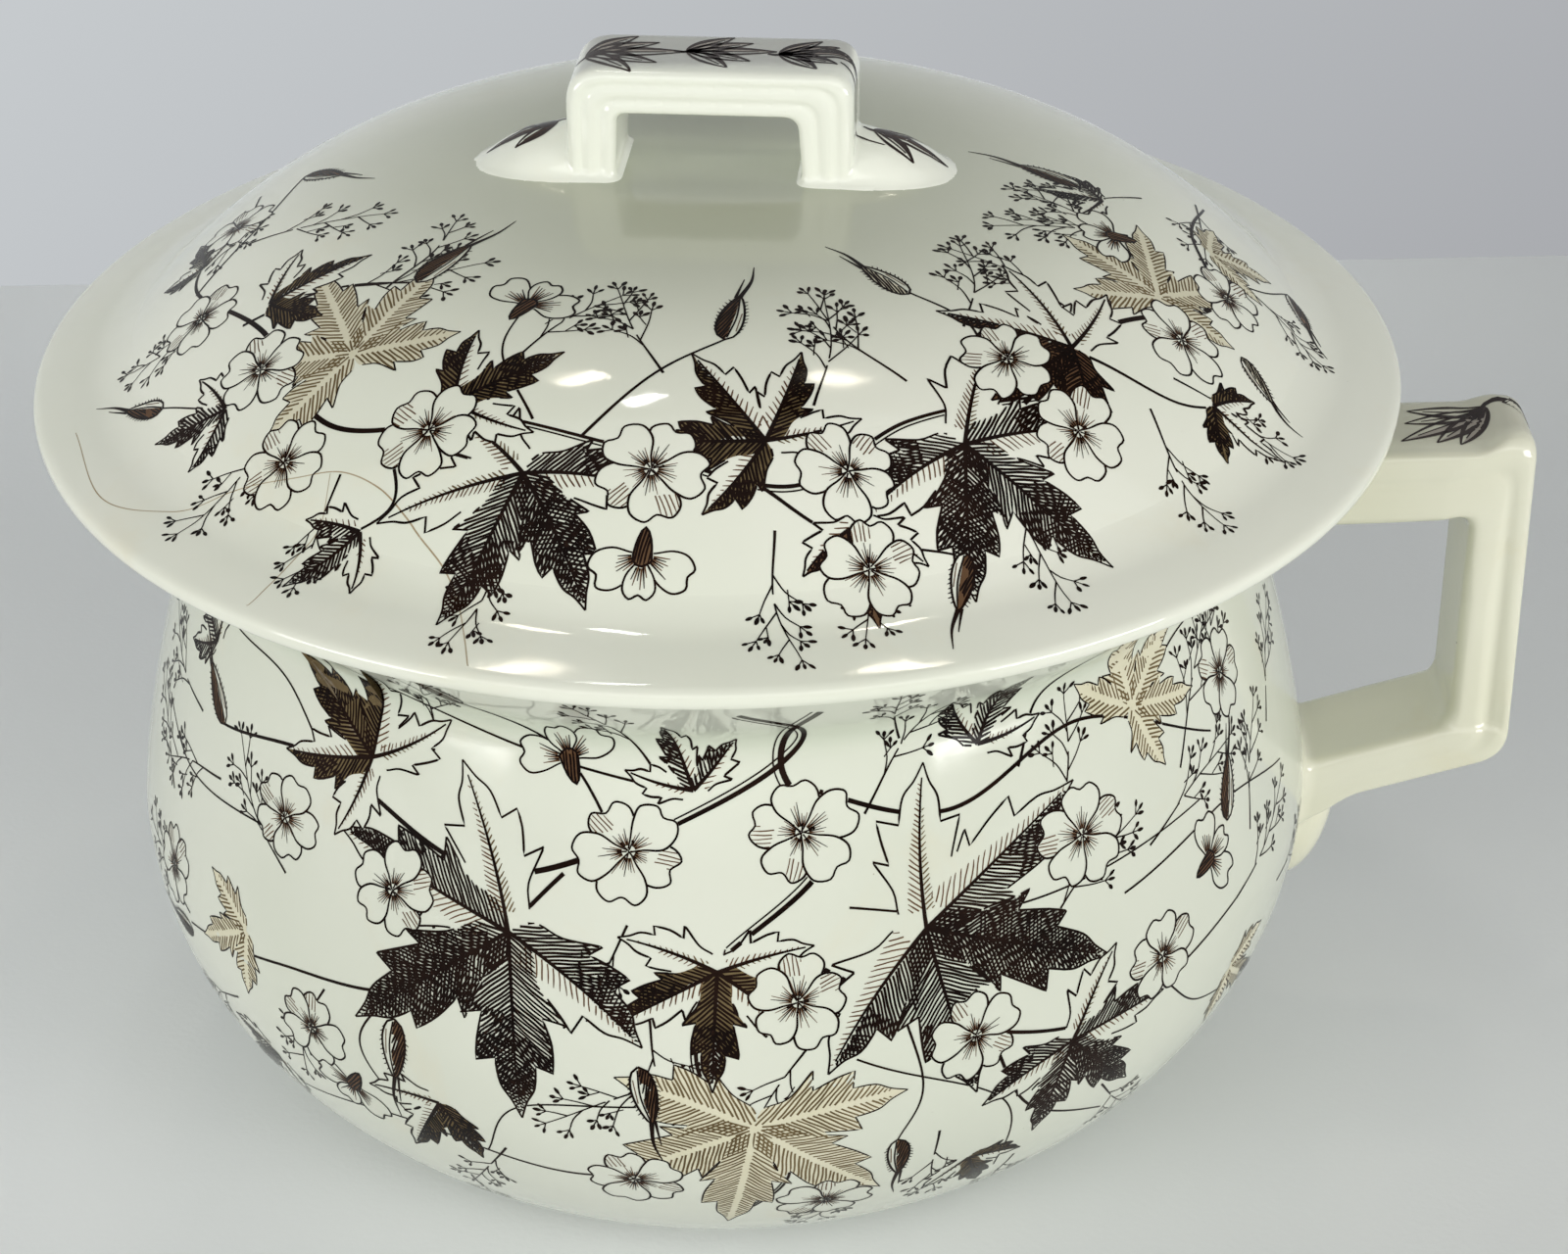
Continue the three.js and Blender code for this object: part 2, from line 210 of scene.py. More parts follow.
def pot_outline():
    """The pot's whole section, from the middle of its base to the middle of its floor."""
    foot_inner = FOOT_RADIUS - FOOT_RING_WIDTH
    floor = FOOT_RECESS + FLOOR_THICKNESS
    seat = RIM_RADIUS - RIM_EDGE
    lip = seat - RIM_SEAT_WIDTH
    wall_in = INSIDE[(INSIDE[:, 1] < POT_HEIGHT - 4) & (INSIDE[:, 1] > floor + FLOOR_THICKNESS)][::-1]
    return joined(
        (0, FOOT_RECESS), (foot_inner - 3, FOOT_RECESS),
        bend((foot_inner - 2, FOOT_RECESS), (foot_inner - 1, 0), (foot_inner + 1, 0), 5),
        bend((FOOT_RADIUS - 1, 0), (FOOT_RADIUS, 0), (FOOT_RADIUS, 1), 4),
        bend((FOOT_RADIUS, 2), (FOOT_RADIUS, FOOT_HEIGHT), OUTSIDE[0], 6), OUTSIDE[1:],
        bend(OUTSIDE[-1], (RIM_RADIUS, POT_HEIGHT), (seat, POT_HEIGHT), 6)[1:],
        bend((lip, POT_HEIGHT), (lip - RIM_EDGE, POT_HEIGHT), wall_in[0], 8), wall_in[1:],
        bend(wall_in[-1], (foot_inner, floor), (foot_inner / 2, floor), 16)[1:],
        (0, floor))


def cover_outline():
    """The cover's whole section, from the middle of its hollow to the top of its dome."""
    outer = np.interp(POT_HEIGHT - FLANGE_DEPTH, INSIDE[:, 1], INSIDE[:, 0]) - FLANGE_PLAY
    inner = outer - FLANGE_THICKNESS
    dome = COVER_TOP[COVER_TOP[:, 0] < BRIM_FOOT - BRIM_FILLET + 0.01]
    under = offset(dome, COVER_WALL)[::-1]
    under[0, 0] = 0
    hollow = under[under[:, 0] < inner - 1]
    root = (inner, hollow[-1, 1] - 1)
    edge, middle = COVER_RADIUS, EDGE_THICKNESS / 2
    return joined(
        hollow, bend(hollow[-1], root, (inner, BRIM_HEIGHT), 6)[1:],
        bend((inner, 1 - FLANGE_DEPTH), (inner, -FLANGE_DEPTH), (inner + 1, -FLANGE_DEPTH), 4),
        bend((outer - 1, -FLANGE_DEPTH), (outer, -FLANGE_DEPTH), (outer, 1 - FLANGE_DEPTH), 4),
        (outer, -1), bend((outer, -0.5), (outer, 0), (outer + 0.5, 0), 3),
        bend((edge - EDGE_INSET, 0), (edge, 0), (edge, middle), 8),
        bend((edge, middle), (edge, EDGE_THICKNESS - 1.4), COVER_TOP[0], 8)[1:], COVER_TOP[1:])


def linked(name, data):
    """A new object in the scene."""
    made = bpy.data.objects.new(name, data)
    bpy.context.scene.collection.objects.link(made)
    return made


def mesh_object(name, points, faces, material):
    """A smooth-shaded piece from points in mm."""
    mesh = bpy.data.meshes.new(name)
    mesh.from_pydata(((np.asarray(points, float) + (AXIS_X, 0, 0)) * MM).tolist(), [], faces)
    mesh.validate()
    mesh.update()
    mesh.polygons.foreach_set("use_smooth", [True] * len(mesh.polygons))
    mesh.materials.append(material)
    return linked(name, mesh)


def flat_map(made, corners):
    """Gives a piece its own flat map for baking, one row for each corner of its faces."""
    layer = made.data.uv_layers.new(name="OFBake")
    layer.data.foreach_set("uv", np.asarray(corners, np.float32).ravel())


def lathe(name, outline, lift, material):
    """A closed solid of revolution from an outline that starts and ends on the axis.
    Its map has the angle across and the length of the outline up, each from 0 to 1."""
    turn = np.linspace(0, 2 * math.pi, ROUND, endpoint=False)
    ring = outline[1:-1]
    count = len(ring)
    points = np.empty((ROUND, count, 3))
    points[:, :, 0] = np.cos(turn)[:, None] * ring[:, 0]
    points[:, :, 1] = np.sin(turn)[:, None] * ring[:, 0]
    points[:, :, 2] = ring[:, 1] + lift
    ends = [(0, 0, outline[0, 1] + lift), (0, 0, outline[-1, 1] + lift)]
    first, last = ROUND * count, ROUND * count + 1
    run = run_of(outline)
    up = (run / run[-1]).tolist()
    faces, corners = [], []
    for i in range(ROUND):
        a, b = i * count, (i + 1) % ROUND * count
        left, middle, right = ((i + share) / ROUND for share in (0, 0.5, 1))
        for j in range(count - 1):
            low, high = up[j + 1:j + 3]
            faces.append((a + j, b + j, b + j + 1, a + j + 1))
            corners += [(left, low), (right, low), (right, high), (left, high)]
        faces += [(first, b, a), (last, a + count - 1, b + count - 1)]
        corners += [(middle, 0), (right, up[1]), (left, up[1])]
        corners += [(middle, 1), (left, up[-2]), (right, up[-2])]
    made = mesh_object(name, np.concatenate([points.reshape(-1, 3), ends]), faces, material)
    flat_map(made, corners)
    return made


def linear(red, green, blue):
    """A colour of 0 to 255 as shown, as the renderer's own numbers."""
    shown = [c / 255 for c in (red, green, blue)]
    return [c / 12.92 if c < 0.04045 else ((c + 0.055) / 1.055) ** 2.4 for c in shown] + [1]


class Nodes:
    """Short ways to add nodes to a tree."""

    def __init__(self, tree):
        self.tree = tree

    def add(self, kind, inputs=(), **settings):
        node = self.tree.nodes.new(kind)
        for name, value in settings.items():
            setattr(node, name, value)
        for name, value in dict(inputs).items():
            self.set(node.inputs[name], value)
        return node

    def set(self, socket, value):
        if isinstance(value, bpy.types.NodeSocket):
            self.tree.links.new(value, socket)
        else:
            socket.default_value = value

    def math(self, operation, a, b=0.0):
        return self.add("ShaderNodeMath", {0: a, 1: b}, operation=operation).outputs[0]

    def vector(self, operation, a, b=(0, 0, 0)):
        return self.add("ShaderNodeVectorMath", {0: a, 1: b}, operation=operation).outputs

    def mix(self, share, a, b):
        made = self.add("ShaderNodeMix", {"Factor": share}, data_type="RGBA")
        for name, value in (("A", a), ("B", b)):
            self.set(next(s for s in made.inputs if s.name == name and s.type == "RGBA"), value)
        return next(s for s in made.outputs if s.type == "RGBA")


class Paint(Nodes):
    """A node material, with patterns that lie fast in the object's own space."""

    def __init__(self, name):
        self.material = bpy.data.materials.new(name)
        self.material.use_nodes = True
        super().__init__(self.material.node_tree)
        self.place = self.add("ShaderNodeTexCoord").outputs["Object"]

    def coat(self, inputs):
        """Sets the shader's own sockets."""
        sockets = self.tree.nodes["Principled BSDF"].inputs
        for name, value in inputs.items():
            self.set(sockets[name], value)

    def noise(self, scale, detail=2.0, rough=0.5, distortion=0.0):
        made = self.add("ShaderNodeTexNoise", {
            "Vector": self.place, "Scale": scale, "Detail": detail,
            "Roughness": rough, "Distortion": distortion})
        return made.outputs["Fac"]

    def wander(self, scale, far):
        """A shift in metres that changes from place to place, at most half of far each way."""
        return self.math("MULTIPLY", self.math("SUBTRACT", self.noise(scale, 3), 0.5), far)

    def span(self, value, low, high, to_low=0.0, to_high=1.0):
        made = self.add("ShaderNodeMapRange", {
            "Value": value, "From Min": low, "From Max": high,
            "To Min": to_low, "To Max": to_high}, interpolation_type="SMOOTHSTEP")
        return made.outputs["Result"]

    def specks(self, scale, size, share):
        """Round specks of a size in metres, in a share of the cells of a pattern."""
        cells = self.add("ShaderNodeTexVoronoi", {"Vector": self.place, "Scale": scale})
        chosen = self.add("ShaderNodeSeparateColor", {"Color": cells.outputs["Color"]})
        spot = self.span(cells.outputs["Distance"], size * scale * 1.3, size * scale * 0.7)
        drawn = self.math("GREATER_THAN", chosen.outputs[0], 1 - share)
        return self.math("MULTIPLY", spot, drawn)

    def radius(self):
        """Distance from the pot's axis, in metres."""
        from_axis = self.vector("SUBTRACT", self.place, (AXIS_X * MM, 0, 0))[0]
        return self.vector("LENGTH", self.vector("MULTIPLY", from_axis, (1, 1, 0))[0])["Value"]

    def along(self, axis):
        return self.add("ShaderNodeSeparateXYZ", {0: self.place}).outputs[axis]

    def finish(self, colour):
        """The glassy skin that glaze and the print under it share."""
        ripple = self.noise(26, 2, 0.5)
        peel = self.noise(190, 2, 0.6)
        pits = self.specks(120, 0.00022, 0.25)
        relief = self.math("ADD", ripple, self.math("MULTIPLY", peel, 0.07))
        relief = self.math("SUBTRACT", relief, self.math("MULTIPLY", pits, 0.12))
        bump = self.add("ShaderNodeBump", {"Strength": 0.5, "Distance": 0.0006, "Height": relief})
        self.coat({"Base Color": colour, "Roughness": self.span(self.noise(60, 3), 0.35, 0.65, *GLOSS),
                   "Normal": bump.outputs["Normal"], "IOR": GLAZE_IOR})
        return self.material


def glaze(name, base, deep, warm, painted_shade_where, painted_shade_colour):
    """Glazed earthenware: base colour, its cloudy deeper tone, its warm stains, and the colour
    of painted shade for the places that its shade function finds."""
    paint = Paint(name)
    cloud = paint.span(paint.noise(11, 3), 0.35, 0.68)
    colour = paint.mix(paint.math("MULTIPLY", cloud, 0.55), linear(*base), linear(*deep))
    stain = paint.span(paint.noise(34, 5, 0.6, 0.4), 0.56, 0.78)
    colour = paint.mix(paint.math("MULTIPLY", stain, 0.4), colour, linear(*warm))
    # Painted shade: the darker last colour, laid where the shade function says.
    colour = paint.mix(painted_shade_where(paint), colour, linear(*painted_shade_colour))
    for scale, size, share, strength, tone in (
            (150, 0.00013, 0.22, 0.55, (120, 105, 84)), (62, 0.00027, 0.16, 0.8, (82, 66, 52))):
        dots = paint.math("MULTIPLY", paint.specks(scale, size, share), strength)
        colour = paint.mix(dots, colour, linear(*tone))
    return paint.finish(colour)


def ink(name, dark, light):
    """Print colour under the glaze, stronger here and weaker there."""
    paint = Paint(name)
    even = paint.span(paint.noise(70, 4, 0.6), 0.3, 0.7)
    worn = paint.span(paint.noise(900, 2, 0.7), 0.5, 0.8)
    share = paint.math("MAXIMUM", paint.math("MULTIPLY", even, 0.6), paint.math("MULTIPLY", worn, 0.9))
    paint.coat({"Specular IOR Level": INK_SHINE})
    return paint.finish(paint.mix(share, linear(*dark), linear(*light)))


def painted_shade_under_rim(paint):
    """Painted shade: darker, greener glaze in the crease below the rim."""
    crease = (NECK_HEIGHT + 1) * MM
    away = paint.math("ABSOLUTE", paint.math("SUBTRACT", paint.along("Z"), crease))
    return paint.span(away, 0.006, 0.0005, 0.0, 0.8)


def painted_shade_round_dome(paint):
    """Painted shade: the cover's glaze greyer over the top of its dome, round the handle."""
    return paint.span(paint.math("ADD", paint.radius(), paint.wander(16, 0.02)), 0.088, 0.03, 0.0, 0.9)


def painted_shade_on_top(low, high, most):
    """Painted shade in grey under the sprays: on a handle's top face, towards its back."""
    def share(paint):
        back = paint.math("ADD", paint.along("Y"), paint.wander(90, 0.006))
        return paint.math("MULTIPLY", paint.span(paint.along("Z"), low, high, 0.0, most),
                          paint.span(back, -0.008, -0.003))
    return share


# The last colour of each glaze is painted shade: in the crease under the rim, over the top of the dome, and
# on the handles' top faces.
POT_GLAZE = glaze("pot_glaze", (212, 215, 202), (200, 205, 189), (210, 204, 180),
                  painted_shade_under_rim, (201, 208, 189))
COVER_GLAZE = glaze("cover_glaze", (230, 232, 219), (218, 223, 206), (226, 220, 195),
                    painted_shade_round_dome, (184, 188, 168))
POT_HANDLE_GLAZE = glaze("pot_handle_glaze", (222, 222, 203), (214, 213, 184), (214, 205, 168),
                         painted_shade_on_top(0.1285, 0.1305, 0.5), (178, 176, 158))
COVER_HANDLE_GLAZE = glaze("cover_handle_glaze", (238, 240, 229), (226, 231, 217), (232, 226, 203),
                           painted_shade_on_top(0.2043, 0.2056, 0.8), (172, 173, 168))

pot_body = lathe("glazed_pot_body", pot_outline(), 0, POT_GLAZE)
cover = lathe("glazed_cover", cover_outline(), SEAT_HEIGHT, COVER_GLAZE)


def nearest_on(outline, points):
    """Signed distance (outside positive) of points to a surface of revolution, and its
    outward normal there."""
    flat = np.stack([np.hypot(points[:, 0], points[:, 1]), points[:, 2]], 1)
    start, step = outline[:-1], np.diff(outline, axis=0)
    length = (step ** 2).sum(1)
    share = ((flat[:, None] - start) * step).sum(2) / length
    foot = start + np.clip(share, 0, 1)[:, :, None] * step
    gap = flat[:, None] - foot
    best = (gap ** 2).sum(2).argmin(1)
    normal = np.stack([step[best, 1], -step[best, 0]], 1) / np.sqrt(length[best])[:, None]
    signed = (gap[np.arange(len(points)), best] * normal).sum(1)
    turn = points[:, :2] / np.maximum(flat[:, :1], 1e-6)
    return signed, np.concatenate([turn * normal[:, :1], normal[:, 1:]], 1)


def rounded_route(corners, steps=10):
    """Straight runs between (x, z, cut) corners, each cut back by its own length."""
    route = []
    for i, (x, z, cut) in enumerate(corners):
        at = np.array([x, z], float)
        if cut == 0:
            route.append(at)
            continue
        ends = [np.array(corners[j][:2], float) for j in (i - 1, i + 1)]
        back, on = (at + (end - at) * cut / np.linalg.norm(end - at) for end in ends)
        route.extend(bend(back, at, on, steps))
    return np.array(route)


def section_shares():
    """Shares from a strap's inner to its outer face, closest together near both."""
    return np.concatenate([np.linspace(0, 0.16, 10)[:-1], np.linspace(0.16, 0.8, 36),
                           np.linspace(0.8, 1, 12)[1:]])


SECTION = section_shares()


def moulded(thickness, grooves, edges, strength):
    """How far a moulded section is cut back at each share from its inner to its outer face.
    Grooves are (share, width, depth), and edges the roundings of its inner and outer edge."""
    width = np.zeros(len(SECTION))
    for from_edge, soft in zip((SECTION * thickness, (1 - SECTION) * thickness), edges):
        width -= soft - np.sqrt(np.maximum(soft ** 2 - np.maximum(soft - from_edge, 0) ** 2, 0))
    for place, wide, depth in grooves:
        width -= depth * strength * np.exp(-((SECTION - place) * thickness / wide) ** 2)
    return width


def tube(rings, around):
    """Faces between closed rings of points that follow one another."""
    faces = []
    for i in range(rings - 1):
        a, b = i * around, (i + 1) * around
        faces += [(a + j, a + (j + 1) % around, b + (j + 1) % around, b + j) for j in range(around)]
    return faces


def strap(inner, outer, half, grooves, edges, strengths):
    """Points and faces of a closed moulded strap between two routes in the XZ plane.
    half(x, z) is half of its width at a place, and edges are the rounding of its inner
    edges and a function for that of its outer edges."""
    rings = []
    for low, high, strength in zip(inner, outer, strengths):
        place = low + SECTION[:, None] * (high - low)
        soft = edges[0], edges[1](*high)
        width = half(*place.T) + moulded(np.linalg.norm(high - low), grooves, soft, strength)
        right = np.stack([place[:, 0], width, place[:, 1]], 1)
        left = (right * (1, -1, 1))[::-1]
        rings.append(np.concatenate([right, left]))
    around = len(rings[0])
    faces = tube(len(rings), around)
    last = (len(rings) - 1) * around
    for j in range(around // 2 - 1):
        k = around - 1 - j
        faces.append((j, k, k - 1, j + 1))
        faces.append((last + j, last + j + 1, last + k - 1, last + k))
    return np.concatenate(rings), faces


def egg(centre, axes, sizes, power):
    """Points and faces of a closed egg with half sizes along three axes."""
    rows, columns = 24, 36
    tilt = np.linspace(0, math.pi, rows + 1)[1:-1]
    turn = np.linspace(0, 2 * math.pi, columns, endpoint=False)
    grid = np.stack(np.broadcast_arrays(
        np.cos(tilt)[:, None], np.sin(tilt)[:, None] * np.cos(turn), np.sin(tilt)[:, None] * np.sin(turn)), 2)
    unit = np.concatenate([grid.reshape(-1, 3), [(1, 0, 0), (-1, 0, 0)]])
    unit = np.sign(unit) * np.abs(unit) ** power
    faces = tube(rows - 1, columns)
    first, last = (rows - 1) * columns, (rows - 1) * columns + 1
    end = (rows - 2) * columns
    faces += [(first, (j + 1) % columns, j) for j in range(columns)]
    faces += [(last, end + j, end + (j + 1) % columns) for j in range(columns)]
    return unit @ (np.array(axes, float) * np.array(sizes)[:, None]) + centre, faces


def leaf_end(side):
    """Points and faces of one leaf-shaped end of the cover's handle, over the dome."""
    xs = np.linspace(LEAF_START, LEAF_TIP - 0.01, 40)
    ys = np.sin(np.linspace(-1, 1, 41) * math.pi / 2)
    out = np.clip((xs - LEAF_WIDEST) / (LEAF_TIP - LEAF_WIDEST), 0, 1)
    width = LEAF_HALF_WIDTH * (1 - out ** 2.6) ** 0.5
    ridge = np.interp(out, [0, 0.24, 0.53, 0.77, 0.92, 1], [7.2, 6.1, 4.9, 2.9, 1.3, 0.2])
    x = np.repeat(xs[:, None], len(ys), 1)
    y = width[:, None] * ys
    top = ridge[:, None] * (1 - np.abs(ys) ** 2.2) ** 0.72
    base = dome_height(np.hypot(x, y))
    upper, lower = (np.stack([x * side, y, z], 2).reshape(-1, 3) for z in (base + top, base - LEAF_SUNK))
    count = len(upper)
    at = np.arange(count).reshape(x.shape).tolist()
    faces = []
    for near, far in zip(at, at[1:]):
        for j in range(len(ys) - 1):
            quad = (near[j], far[j], far[j + 1], near[j + 1])
            faces += [quad, tuple(count + k for k in quad[::-1])]
    rim = [row[0] for row in at] + at[-1][1:] + [row[-1] for row in at[-2::-1]] + at[0][-2:0:-1]
    faces += [(a, count + a, count + b, b) for a, b in zip(rim, rim[1:] + rim[:1])]
    if side < 0:
        faces = [face[::-1] for face in faces]
    return np.concatenate([upper, lower]), faces


def merged(name, solids, voxel, material):
    """Solids that overlap as one skin, in steps of the voxel size."""
    points, faces, count = [], [], 0
    for solid_points, solid_faces in solids:
        points.append(solid_points)
        faces += [tuple(count + i for i in face) for face in solid_faces]
        count += len(solid_points)
    rough = mesh_object(name + "_rough", np.concatenate(points), faces, material)
    remesh = rough.modifiers.new("skin", "REMESH")
    remesh.mode = "VOXEL"
    remesh.voxel_size = voxel * MM
    made = rough.evaluated_get(bpy.context.evaluated_depsgraph_get())
    mesh = bpy.data.meshes.new_from_object(made)
    bpy.data.objects.remove(rough)
    mesh.name = name
    if not mesh.materials:
        mesh.materials.append(material)
    mesh.polygons.foreach_set("use_smooth", [True] * len(mesh.polygons))
    return linked(name, mesh)


def mesh_points(mesh):
    points = np.empty(len(mesh.vertices) * 3)
    mesh.vertices.foreach_get("co", points)
    return points.reshape(-1, 3) / MM - (AXIS_X, 0, 0)


def set_points(mesh, points):
    mesh.vertices.foreach_set("co", ((points + (AXIS_X, 0, 0)) * MM).astype(np.float32).ravel())
    mesh.update()


def smoothed(mesh, rounds):
    """Takes the steps out of a skin; each pull inwards is followed by a push back out."""
    pull, push = 0.5, -0.52
    edges = np.empty(len(mesh.edges) * 2, np.int32)
    mesh.edges.foreach_get("vertices", edges)
    a, b = edges.reshape(-1, 2).T
    count = len(mesh.vertices)
    near = np.bincount(a, minlength=count) + np.bincount(b, minlength=count)
    points = mesh_points(mesh)
    for i in range(rounds * 2):
        total = np.stack([
            np.bincount(a, points[b, k], count) + np.bincount(b, points[a, k], count) for k in range(3)], 1)
        points += (total / near[:, None] - points) * (pull if i % 2 == 0 else push)
    set_points(mesh, points)


def seated(mesh, outline, lift, fillet):
    """Spreads a skin where it meets the clay, and ends it just under the surface."""
    points = mesh_points(mesh)
    normals = np.empty(len(mesh.vertices) * 3, np.float32)
    mesh.vertices.foreach_get("normal", normals)
    normals = normals.reshape(-1, 3)
    gap, outward = nearest_on(outline, points - (0, 0, lift))
    along = normals - (normals * outward).sum(1)[:, None] * outward
    depth = np.clip(1 - np.maximum(gap, 0) / fillet, 0, 1)
    swell = fillet * (1 - np.sqrt(1 - depth ** 2)) * 0.75
    points += along * swell[:, None]
    gap, outward = nearest_on(outline, points - (0, 0, lift))
    points += outward * np.maximum(-SKIN_SUNK - gap, 0)[:, None]
    set_points(mesh, points)


def below_arm(x):
    """Height of the underside of the side handle's lower arm."""
    return HANDLE_BOTTOM - (HANDLE_REACH - x) * LOWER_SLOPE


def side_handle_routes():
    """Inner and outer route of the side handle, from the neck round to the belly."""
    under, middle = HANDLE_TOP - 14.5, (HANDLE_TOP + HANDLE_BOTTOM) / 2
    outer = rounded_route([
        (90, HANDLE_TOP - 2.4, 0), (141.8, HANDLE_TOP - 1.2, 2), (146, HANDLE_TOP + 1.1, 1.8),
        (HANDLE_REACH, HANDLE_TOP + 1.5, 4.6), (HANDLE_REACH, middle, 0), (HANDLE_REACH, HANDLE_BOTTOM, 5.6),
        (121.6, below_arm(121.6), 2.6), (117.6, below_arm(117.6) - 2.2, 1.6), (104, below_arm(104) - 6, 0)])
    inner = rounded_route([
        (90, under - 3, 0), (128, under - 1.6, 4), (135, under - 1.3, 1.5),
        (GRIP_INNER, under, 4.2), (GRIP_INNER, middle, 0),
        *((x, below_arm(x) + LOWER_RISE, cut)
          for x, cut in ((GRIP_INNER, 4.4), (128, 2), (121, 2), (103, 0)))])
    return inner, outer


def bridge_routes():
    """Inner and outer route of the cover's handle, from its -X leg to its +X leg."""
    outer = rounded_route([(-25.5, 30, 0), (-25.5, 60.4, 7), (25.5, 60.4, 5), (25.5, 30, 0)])
    inner = rounded_route([(-17.3, 30, 0), (-16.4, 52.3, 1.8), (15.6, 52.3, 2.8), (17.1, 30, 0)])
    return inner, outer


def turned_with_cover(points):
    cos, sin = math.cos(COVER_TURN), math.sin(COVER_TURN)
    return points @ np.array([[cos, sin, 0], [-sin, cos, 0], [0, 0, 1]]) + (0, 0, SEAT_HEIGHT)


def handle_tail():
    """The pad with which the side handle's lower arm ends on the belly."""
    start = np.array([[BELLY_RADIUS + 5.0, 0, below_arm(BELLY_RADIUS) - 7.3]])
    gap, outward = nearest_on(OUTSIDE, start)
    seat = start[0] - outward[0] * gap[0]
    down = np.cross(outward[0], (0, 1, 0))
    return egg(seat, (down, (0, 1, 0), outward[0]), (15.6, 11.3, 8.9), 0.9)


def side_handle():
    inner, outer = side_handle_routes()
    heights = (inner[:, 1] + outer[:, 1]) / 2
    strengths = np.interp(
        heights, [HANDLE_BOTTOM, HANDLE_BOTTOM + 10, HANDLE_TOP - 20, HANDLE_TOP - 10], [0.2, 1, 1, 0.3])
    crease = below_arm(GRIP_INNER) + LOWER_RISE - 0.6

    def half(x, z):
        """Its two arms are wider than its grip, and the lower one starts with a step."""
        upper = np.interp(x, [135, 147], [1, 0]) * np.interp(z, [HANDLE_TOP - 20, HANDLE_TOP - 14], [0, 1])
        lower = np.interp(z, [crease - 0.5, crease + 0.5], [1, 0])
        return 11.1 + 1.0 * np.maximum(upper, lower)

    def outer_edge(x, z):
        corner = np.interp(x, [143, 148], [0, 1]) * np.interp(z, [HANDLE_TOP - 8, HANDLE_TOP], [0, 1])
        return 1.7 + 2.3 * corner

    arm = strap(inner, outer, half, [(0.6, 1.5, 1.0)], (2.4, outer_edge), strengths)
    made = merged("glazed_pot_handle", [arm, handle_tail()], SIDE_HANDLE_STEP, POT_HANDLE_GLAZE)
    smoothed(made.data, 14)
    seated(made.data, OUTSIDE, 0, 3.0)
    return made


def bridge():
    inner, outer = bridge_routes()
    ribs = [(0.32, 0.8, 0.5), (0.68, 0.8, 0.45)]
    arch = strap(inner, outer, lambda x, z: 10 + 0 * x, ribs, (1.3, lambda x, z: 2.2), np.ones(len(inner)))
    solids = [(turned_with_cover(points), faces) for points, faces in (arch, leaf_end(1), leaf_end(-1))]
    made = merged("glazed_cover_handle", solids, BRIDGE_STEP, COVER_HANDLE_GLAZE)
    smoothed(made.data, 10)
    seated(made.data, COVER_TOP, SEAT_HEIGHT, 1.8)
    return made


pot_handle = side_handle()
cover_handle = bridge()


def inside(points, polygon):
    """Which points lie inside a closed polygon."""
    x, y = points[:, :1], points[:, 1:]
    a, b = polygon, np.roll(polygon, -1, 0)
    rise = np.where(b[:, 1] == a[:, 1], TINY, b[:, 1] - a[:, 1])
    at = (b[:, 0] - a[:, 0]) * (y - a[:, 1]) / rise + a[:, 0]
    return (((a[:, 1] > y) != (b[:, 1] > y)) & (x < at)).sum(1) % 2 == 1


def smooth_curve(points, step=0.8):
    """A smooth line through points, in steps of about the given length."""
    p = np.array(points, float)
    if len(p) == 2:
        count = max(int(np.linalg.norm(p[1] - p[0]) / step), 1)
        return np.linspace(p[0], p[1], count + 1)
    ends = np.concatenate([[2 * p[0] - p[1]], p, [2 * p[-1] - p[-2]]])
    out = []
    for i in range(len(p) - 1):
        a, b, c, d = ends[i:i + 4]
        count = max(int(np.linalg.norm(c - b) / step), 2)
        t = np.linspace(0, 1, count, endpoint=False)[:, None]
        square, cube = 2 * a - 5 * b + 4 * c - d, 3 * b - a - 3 * c + d
        out.append(0.5 * (2 * b + (c - a) * t + square * t ** 2 + cube * t ** 3))
    return np.concatenate(out + [p[-1:]])


def rotated(points, angle):
    cos, sin = math.cos(angle), math.sin(angle)
    return np.asarray(points, float) @ np.array([[cos, sin], [-sin, cos]])


def spread(values, count):
    """A few values spread evenly over count places."""
    values = np.atleast_1d(values)
    return np.interp(np.linspace(0, 1, count), np.linspace(0, 1, len(values)), values)


def shown_runs(shown, least):
    """Start and stop of each run of true values that is long enough."""
    edges = np.flatnonzero(np.diff(np.concatenate([[0], shown.astype(int), [0]])))
    return [(start, stop) for start, stop in edges.reshape(-1, 2) if stop - start >= least]


def thinned(start, stop, step):
    """Every few numbers from start, and the last one before stop."""
    return np.unique(np.concatenate([np.arange(start, stop, step), [stop - 1]]))


